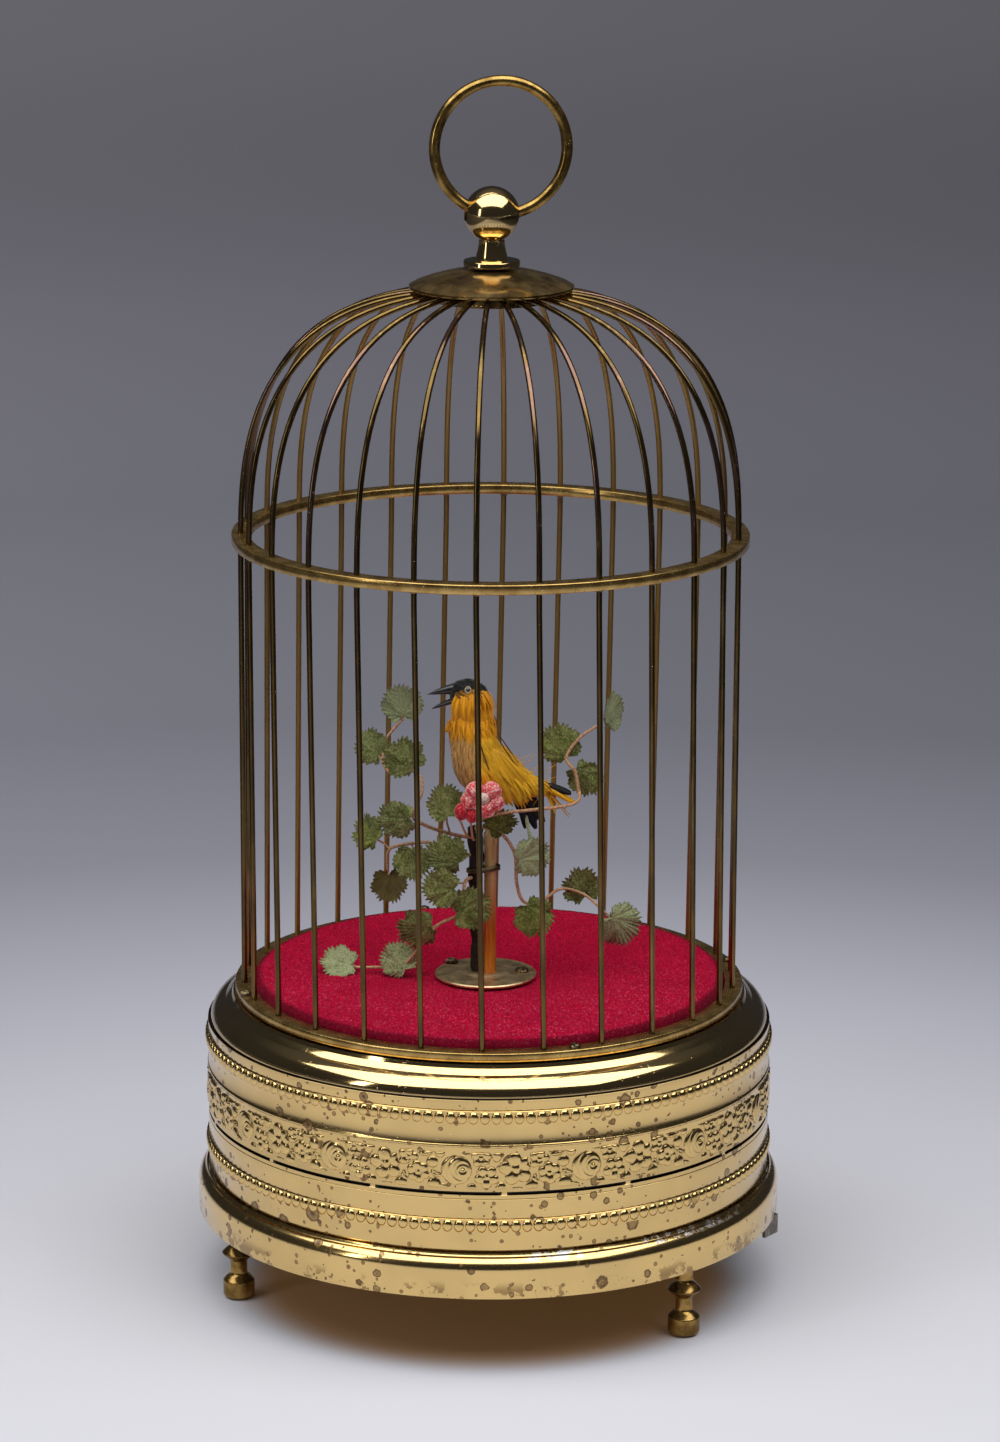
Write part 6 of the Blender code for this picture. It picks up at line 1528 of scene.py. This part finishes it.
def make_flower():
    """Five downy lobes round a cream heart, and two red buds under them."""
    rng = random.Random(21)
    waves = [(Vector([rng.uniform(-1, 1) for _ in range(3)]).normalized(),
              rng.uniform(0, 6)) for _ in range(7)]
    middle = Vector((-0.8, -9.0, FLANGE_HIGH + 43.5))
    lobe, heart = (1.0, 0.85, 1.0), (1.0, 0.6, 1.0)
    lobes = [((-2.5, -0.2, 2.0), 2.15, lobe), ((1.3, -0.1, 2.0), 2.15, lobe),
             ((-3.7, 0.3, -0.4), 2.05, lobe), ((-0.2, -0.6, -2.0), 2.2, lobe),
             ((2.0, 0.2, -0.8), 2.1, lobe), ((-0.9, 1.0, 0.2), 2.6, lobe)]
    buds = [((-5.6, -0.1, -2.9), 1.6, (1.0, 0.9, 1.25)), ((-3.2, -0.3, -3.8), 1.45, (1.0, 0.9, 1.15))]
    sets = (("flower", lobes, 0.2, PETAL, ["flower"]),
            ("flower_heart", [((-0.6, -1.9, 0.7), 1.35, heart)], 0.12, CREAM, []),
            ("buds", buds, 0.12, BUD, []))
    for name, balls, rough, finish, nodes in sets:
        points, faces, crests = [], [], []
        for offset, size, squash in balls:
            ball, sides, stand = fluffy(middle + Vector(offset), size, squash, rough, waves, rng)
            faces += [[len(points) + i for i in face] for face in sides]
            points += ball
            crests += stand
        piece = mesh_piece(name, points, faces, finish, 180)
        set_attribute(piece.data, "crest", crests)
        keep(piece, "base", "velvet_blossom", *nodes)


# Bird

YELLOW, ORANGE, BEIGE = srgb(252, 188, 34), srgb(255, 172, 14), srgb(222, 168, 98)
BLACK, BLUE_BLACK, LINE_BROWN = srgb(16, 14, 15), srgb(24, 28, 44), srgb(112, 66, 10)
HOOD_LOW = 11.6


def perched(sections):
    """Sections of the bird, from heights above the post to heights above the floor."""
    return [(x, z + POST_TOP, a, b) for x, z, a, b in sections]


def body_of_sections(name, sections, sides, finish, dye):
    """A smooth body through sections (x, z, half height across, half width), as the solids have them."""
    spine = smooth_path([(x, 0, z) for x, z, _, _ in sections], 5)
    tall = smooth_path([(a, 0, 0) for _, _, a, _ in sections], 5)[:, 0]
    wide = smooth_path([(b, 0, 0) for _, _, _, b in sections], 5)[:, 0]
    along = np.gradient(spine, axis=0)
    along /= np.linalg.norm(along, axis=1)[:, None]
    points = []
    for point, tangent, a, b in zip(spine, along, tall, wide):
        across = np.array([-tangent[2], 0, tangent[0]])
        for k in range(sides):
            turn = 2 * pi * k / sides
            points.append(point + across * a * cos(turn) + np.array([0, b * sin(turn), 0]))
    piece = mesh_piece(name, points + [spine[0], spine[-1]], skin(len(spine), sides), finish, 180)
    outward(piece.data)
    set_attribute(piece.data, "dye", [(*dye(v.co / MM), 1.0) for v in piece.data.vertices], "FLOAT_COLOR")
    return piece


def feather_unit(name, curve):
    """A vane one millimetre long that lies along +X and curves down, two faces across."""
    rows, width = 6, 0.34
    points, places = [], []
    for i in range(rows + 1):
        t = i / rows
        half = width * sin(pi * min(1.0, 0.14 + 0.84 * t) ** 0.8)
        for side in (-1, 0, 1):
            ridge = 0.06 * width if side == 0 else 0
            points.append((t, side * half, 0.08 * sin(pi * t) - curve * t**2 + ridge))
            places.append((side * 0.5 + 0.5, t, 0))
    unit = pattern(name, points, vane_faces(rows))
    set_attribute(unit.data, "vane", places, "FLOAT_VECTOR")
    return unit


def vane_faces(rows):
    """Faces of a vane of three points across."""
    return [(3 * i + k, 3 * i + k + 3, 3 * i + k + 4, 3 * i + k + 1) for i in range(rows) for k in range(2)]


def coat(name, body, unit, spacing, seed):
    """A tree lays feathers on a body, along the flow and as long as the body's attributes say."""
    tree = Growth(name, Spacing=spacing * MM, Seed=seed, Feather=unit)
    sockets = {"Mesh": tree["Geometry"], "Distance Min": tree["Spacing"], "Density Max": 4.0e6,
               "Density Factor": tree.named("cover"), "Seed": tree["Seed"]}
    scattered = tree.geo("DistributePointsOnFaces", sockets, {"distribute_method": "POISSON"})
    normal = Link(tree, scattered.socket.node.outputs["Normal"])
    wander = tree.xyz(*(tree.random(-0.14, 0.14, seed) for seed in (11, 12, 13)))
    flow = tree.vector("ADD", tree.named("flow", "FLOAT_VECTOR"), wander)
    sunk = tree.scaled(normal, tree.vector("DOT_PRODUCT", flow, normal, out="Value"))
    lie = tree.vector("NORMALIZE", tree.vector("SUBTRACT", flow, sunk))
    lie = tree.vector("ADD", lie, tree.scaled(normal, tree.named("lift")))
    along = tree.node("FunctionNodeAlignRotationToVector", {"axis": "X"}, {"Vector": lie})
    laid = tree.node("FunctionNodeAlignRotationToVector", {"axis": "Z", "pivot_axis": "X"},
                     {"Rotation": along, "Vector": normal})
    length = tree.named("length") * tree.random(0.78, 1.15, 14)
    broad = length * tree.named("breadth")
    sockets = {"Geometry": scattered, "Name": "feather_tone", "Value": tree.random(0.0, 1.0, 15)}
    toned = tree.geo("StoreNamedAttribute", sockets, {"data_type": "FLOAT", "domain": "POINT"})
    sockets = {"Points": toned, "Instance": tree.shape("Feather"), "Rotation": laid,
               "Scale": tree.xyz(length, broad, length)}
    return tree.baked(tree.geo("InstanceOnPoints", sockets), PLUMAGE, 180, body)


def lay_coat(body, rule):
    """Stores the coat's flow, length, breadth, lift and cover on a body's points."""
    values = [rule(v.co / MM) for v in body.data.vertices]
    set_attribute(body.data, "flow", [value[0] for value in values], "FLOAT_VECTOR")
    for place, name in enumerate(("length", "breadth", "lift", "cover"), 1):
        set_attribute(body.data, name, [value[place] for value in values])


def on_breast(x, z):
    """Whether a point is on the beige breast, below the hood and in front of the wing."""
    return z < HOOD_LOW and x < -2.7 - 0.04 * z


def body_dye(p):
    """Colour of the down at a point of the body: orange hood, beige breast and yellow elsewhere."""
    z = p.z - POST_TOP
    if z > HOOD_LOW:
        return ORANGE
    if on_breast(p.x, z):
        return BEIGE
    return YELLOW


def body_rule(p):
    """Flow, length, breadth, lift and cover of the feathers at a point of the body."""
    z = p.z - POST_TOP
    if z > 15.5:
        return Vector((0.22, 0, -1)), 4.6, 0.3, 0.05, 0.0
    if z > HOOD_LOW:
        return Vector((0.22, 0, -1)), 4.0, 0.28, 0.05, 1.0
    if on_breast(p.x, z):
        return Vector((0.12, 0, -1)), 4.0, 0.24, 0.04, 1.0
    if z < -2.2 - 0.1 * p.x:
        return Vector((0.9, 0, -0.4)), 2.6, 0.36, 0.04, 1.0
    if p.x > 7:
        return Vector((1, 0, -0.42)), 5.2, 0.24, 0.05, 1.0
    return Vector((0.50, 0, -0.86)), 6.2, 0.24, 0.04, 1.0


def in_cap(x, z):
    """Whether a point of the head is in its black cap, whose edge runs under the eye."""
    edge = 21.7 + 0.34 * (x + 4.9) if x < -4.9 else 21.7 - 0.16 * (x + 4.9)
    return z > edge or (x < -7.7 and z > 18.2)


def head_dye(p):
    """Colour of the down at a point of the head."""
    return BLACK if in_cap(p.x, p.z - POST_TOP) else ORANGE


def head_rule(p):
    """Flow, length, breadth, lift and cover of the feathers at a point of the head."""
    z = p.z - POST_TOP
    if in_cap(p.x, z):
        return Vector((1, 0, -0.22)), 1.5, 0.42, 0.04, 1.0
    bare_below = 16.7 if p.x < -6.8 else 16.35
    return Vector((0.04 * (p.x + 4.6), 0, -1)), 5.6, 0.24, 0.05, 0.0 if z < bare_below else 1.0


def make_bird_body():
    """The body from the neck to the rump, and its coat."""
    seam = 15.6
    sections = [(-4.1, seam, 4.5, 3.9), (-3.95, seam - 0.5, 4.8, 4.05), (-4.0, 12.9, 5.1, 4.6),
                (-3.6, 8.5, 5.2, 5.4), (-2.2, 4.3, 6.0, 6.0), (0.6, 1.1, 5.8, 6.0),
                (4.6, -0.2, 3.8, 4.7), (8.2, -1.3, 2.6, 3.4), (11.2, -1.7, 1.5, 2.0)]
    body = body_of_sections("bird_breast", perched(sections), 36, DOWN, body_dye)
    lay_coat(body, body_rule)
    feathers = coat("body_feathers", body, feather_unit("contour_feather", 0.12), 0.72, 3)
    keep(body, "base", "feather", "bird_body")
    keep(feathers, "base", "feather")


def make_bird_head():
    """The head that turns, with its coat, upper bill and eyes."""
    seam = 15.9
    sections = [(-4.2, seam, 4.25, 3.8), (-4.2, seam + 0.5, 4.25, 3.8), (-4.5, seam + 2.2, 4.2, 3.8),
                (-4.9, seam + 4.4, 4.3, 3.7), (-4.9, seam + 6.3, 3.3, 2.8), (-4.8, seam + 7.4, 1.2, 1.0)]
    head = body_of_sections("bird_crown", perched(sections), 36, DOWN, head_dye)
    lay_coat(head, head_rule)
    feathers = coat("head_feathers", head, feather_unit("hood_feather", 0.16), 0.55, 8)
    keep(head, "bird_head", "feather", "bird_head")
    keep(feathers, "bird_head", "feather")
    make_upper_beak(seam)
    make_eyes(seam)


def make_upper_beak(seam):
    """The upper bill, flat underneath so that the lower one closes on it."""
    bill = [(-6.8, seam + 5.3, 1.6, 1.6), (-8.6, seam + 5.2, 1.3, 1.25), (-10.4, seam + 4.9, 0.95, 0.9),
            (-12.3, seam + 4.45, 0.58, 0.55), (-14.3, seam + 3.85, 0.12, 0.12)]
    beak = body_of_sections("upper_beak", perched(bill), 16, HORN, lambda p: BLACK)
    lowest = POST_TOP + seam + 4.1
    for vert in beak.data.vertices:
        vert.co.z = max(vert.co.z, (lowest + 0.02 * (vert.co.x / MM + 8)) * MM)
    keep(beak, "bird_head", "horn")


EYE_AT, EYE_R = (-5.0, 3.5, 5.9), 0.62


def make_eyes(seam):
    """Glass eyes in pale lids, one on each side of the head."""
    eyes = []
    profile = [(0, -0.5), (EYE_R * 1.25, -0.5), (EYE_R * 1.3, 0.0), (EYE_R * 1.15, 0.22),
               (EYE_R * 0.95, 0.2)]
    profile += arc(0, -0.1, EYE_R, 20, 88, 6) + [(0, EYE_R - 0.1)]
    for side in (-1, 1):
        points, faces = lathe_mesh(profile, 24, closed=False)
        turned = [(EYE_AT[0] + x, side * (EYE_AT[1] + z * 0.9 - y * 0.35),
                   POST_TOP + seam + EYE_AT[2] + y + z * 0.3)
                  for x, y, z in points]
        eye = mesh_piece("eye", turned, faces, EYE, 60)
        set_attribute(eye.data, "iris", [hypot(x, y) / (EYE_R * 1.3) for x, y, _ in points])
        outward(eye.data)
        eyes.append(eye)
    keep(joined("glass_eyes", eyes), "bird_head", "horn")


def make_lower_beak():
    """The lower bill, which its own hinge moves."""
    seam = 15.6
    bill = [(-7.7, seam + 3.1, 0.6, 1.2), (-9.6, seam + 2.4, 0.6, 0.95), (-11.6, seam + 1.6, 0.42, 0.6),
            (-13.2, seam + 0.95, 0.1, 0.12)]
    beak = body_of_sections("lower_beak_horn", perched(bill), 16, HORN, lambda p: BLACK)
    keep(beak, "lower_beak", "horn", "lower_beak")


def long_feather(root, tip, width, droop, bow, rng):
    """A long vane from root to tip, which sags by droop and stands out sideways by bow."""
    rows = 12
    root, tip = np.array(root), np.array(tip)
    along = tip - root
    length = np.linalg.norm(along)
    along /= length
    side = np.cross(along, (0, 1.0, 0))
    side /= np.linalg.norm(side)
    tilt = rng.uniform(-0.35, 0.35)
    side = side * cos(tilt) + np.cross(along, side) * sin(tilt)
    points, places = [], []
    for i in range(rows + 1):
        t = i / rows
        middle = root + along * length * t + np.array([0, bow * sin(pi * t), -droop * t * t])
        half = width * (sin(pi * min(1, 0.1 + 0.88 * t)) ** 0.6 + 0.03)
        for k in (-1, 0, 1):
            points.append(middle + side * k * half)
            places.append((k * 0.5 + 0.5, t, 0))
    return points, vane_faces(rows), places


def long_feathers(name, table, seed):
    """Several long feathers, each with its dye, as one piece with a thin wall."""
    rng = random.Random(seed)
    points, faces, places, dyes, tones = [], [], [], [], []
    for *course, dye in table:
        vane, sides, spread = long_feather(*course, rng)
        faces += [[len(points) + i for i in face] for face in sides]
        points += vane
        places += spread
        dyes += [(*dye, 1.0)] * len(vane)
        tones += [rng.random()] * len(vane)
    piece = mesh_piece(name, points, faces, PLUMAGE, 180)
    set_attribute(piece.data, "vane", places, "FLOAT_VECTOR")
    set_attribute(piece.data, "dye", dyes, "FLOAT_COLOR")
    set_attribute(piece.data, "feather_tone", tones)
    wall = piece.modifiers.new("wall", "SOLIDIFY")
    wall.thickness = 0.06 * MM
    wall.offset = 0
    return piece


def make_tail():
    """Tail that the hinge moves: yellow vanes over black ones, with strands that hang from their tips."""
    z = POST_TOP
    rng = random.Random(4)
    table = []
    for k in range(9):
        spread = (k - 4) / 4
        tip = (19.6 - abs(spread) * 0.8, spread * 1.6, z - 4.7)
        table.append(((12.2, spread * 0.9, z - 1.5), tip, 0.5, 0.5, 0, YELLOW))
    for k in range(4):
        spread = (k - 1.5) / 1.5
        table.append(((12.4, spread * 0.6, z - 1.1), (18.7, spread * 1.2, z - 3.2), 0.62, 0.1, 0, BLACK))
    for k in range(8):
        side = rng.uniform(-1.5, 1.5)
        tip = (rng.uniform(14.6, 19.6), side, z - rng.uniform(6.4, 9.2))
        table.append(((12.6, side * 0.5, z - 2.2), tip, 0.15, 0.4, 0, YELLOW))
    keep(long_feathers("tail_feathers", table, 5), "bird_tail", "feather", "bird_tail")


def make_wings():
    """Folded wings, loose strands, tufts at the legs and throat, and the dark feathers under the tail."""
    z = POST_TOP
    rng = random.Random(9)
    table = []
    for side in (-1, 1):
        for k in range(13):
            t = k / 12
            root = (-2.2 + 4.6 * t, side * (4.7 - 0.5 * t), z + 9.9 - 2.9 * t)
            tip = (3.2 + 7.0 * t, side * (4.9 - 2.6 * t), z - 3.9 + 2.6 * t + rng.uniform(-0.6, 0.4))
            table.append((root, tip, 0.85, 0.2, side * 1.25, YELLOW))
        table.append(((-2.5, side * 5.4, z + 10.6), (0.6, side * 6.5, z + 1.6), 0.17, 0.0, side * 0.5,
                      LINE_BROWN))
        table.append(((1.4, side * 2.2, z + 10.8), (6.6, side * 2.6, z + 3.0), 0.13, 0.0, side * 0.5,
                      LINE_BROWN))
        for k in range(9):
            root = (2.0 + 1.0 * k, side * rng.uniform(2.5, 4.0), z + 3.6 - 0.7 * k)
            tip = (root[0] + rng.uniform(3.5, 6.5), side * rng.uniform(1.5, 3.6),
                   root[2] + rng.uniform(-1.0, 5.0))
            table.append((root, tip, 0.07, 0.2, 0, YELLOW))
        for k in range(7):
            root = (2.0 + rng.uniform(-1.6, 1.4), side * rng.uniform(1.4, 4.0), z - 1.6)
            tip = (root[0] + rng.uniform(-0.8, 1.2), root[1], z - rng.uniform(4.0, 5.6))
            table.append((root, tip, 0.42, 0.0, 0, YELLOW))
    for k in range(5):
        across = 0.5 * (k - 2)
        tip = (-10.1 + 0.2 * abs(k - 2), across * 1.5, z + 11.0 + 0.3 * abs(k - 2))
        table.append(((-8.8, across * 1.6, z + 13.6), tip, 0.6, 0.0, 0, ORANGE))
    for k in range(9):
        spread = (k - 4) / 4
        tip = (10.6 + rng.uniform(-2.6, 2.6), spread * 1.9, z - rng.uniform(9.2, 12.4))
        table.append(((4.4 + 0.4 * k, spread * 1.4, z + 0.2), tip, 1.1, -0.4, 0,
                      BLUE_BLACK if k % 3 else BLACK))
    keep(long_feathers("wing_feathers", table, 6), "base", "feather")


# Movement, levers and plate, left as the solids have them and given their finishes


def finish_solids():
    """Gives each of these solids its finish."""
    solids = {
        PLATE_STEEL: ["base_plate"],
        STEEL: ["stop_lever", "winding_key", "whistle_piston", "cam_lever", "push_rod"],
        RAW_BRASS: ["movement_frame", "movement_top_plate", "spring_barrel", "cam_arbor", "crank_arbor",
                    "governor_fan", "whistle"],
        LEATHER: ["bellows", "bellows_board"],
    }
    for finish, names in solids.items():
        for name in names:
            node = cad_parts[name]
            node.data.materials.clear()
            node.data.materials.append(finish)


for make in (make_feet, make_rim, make_drum, make_bead_rows, make_floral_band, make_collar, make_hoops,
             make_wires, make_solder, make_cap, make_finial, make_carrying_ring, make_screws, make_carpet,
             make_stand, make_stems, make_trunk, make_leaves, make_flower, make_bird_body, make_bird_head,
             make_lower_beak, make_tail, make_wings, finish_solids):
    make()
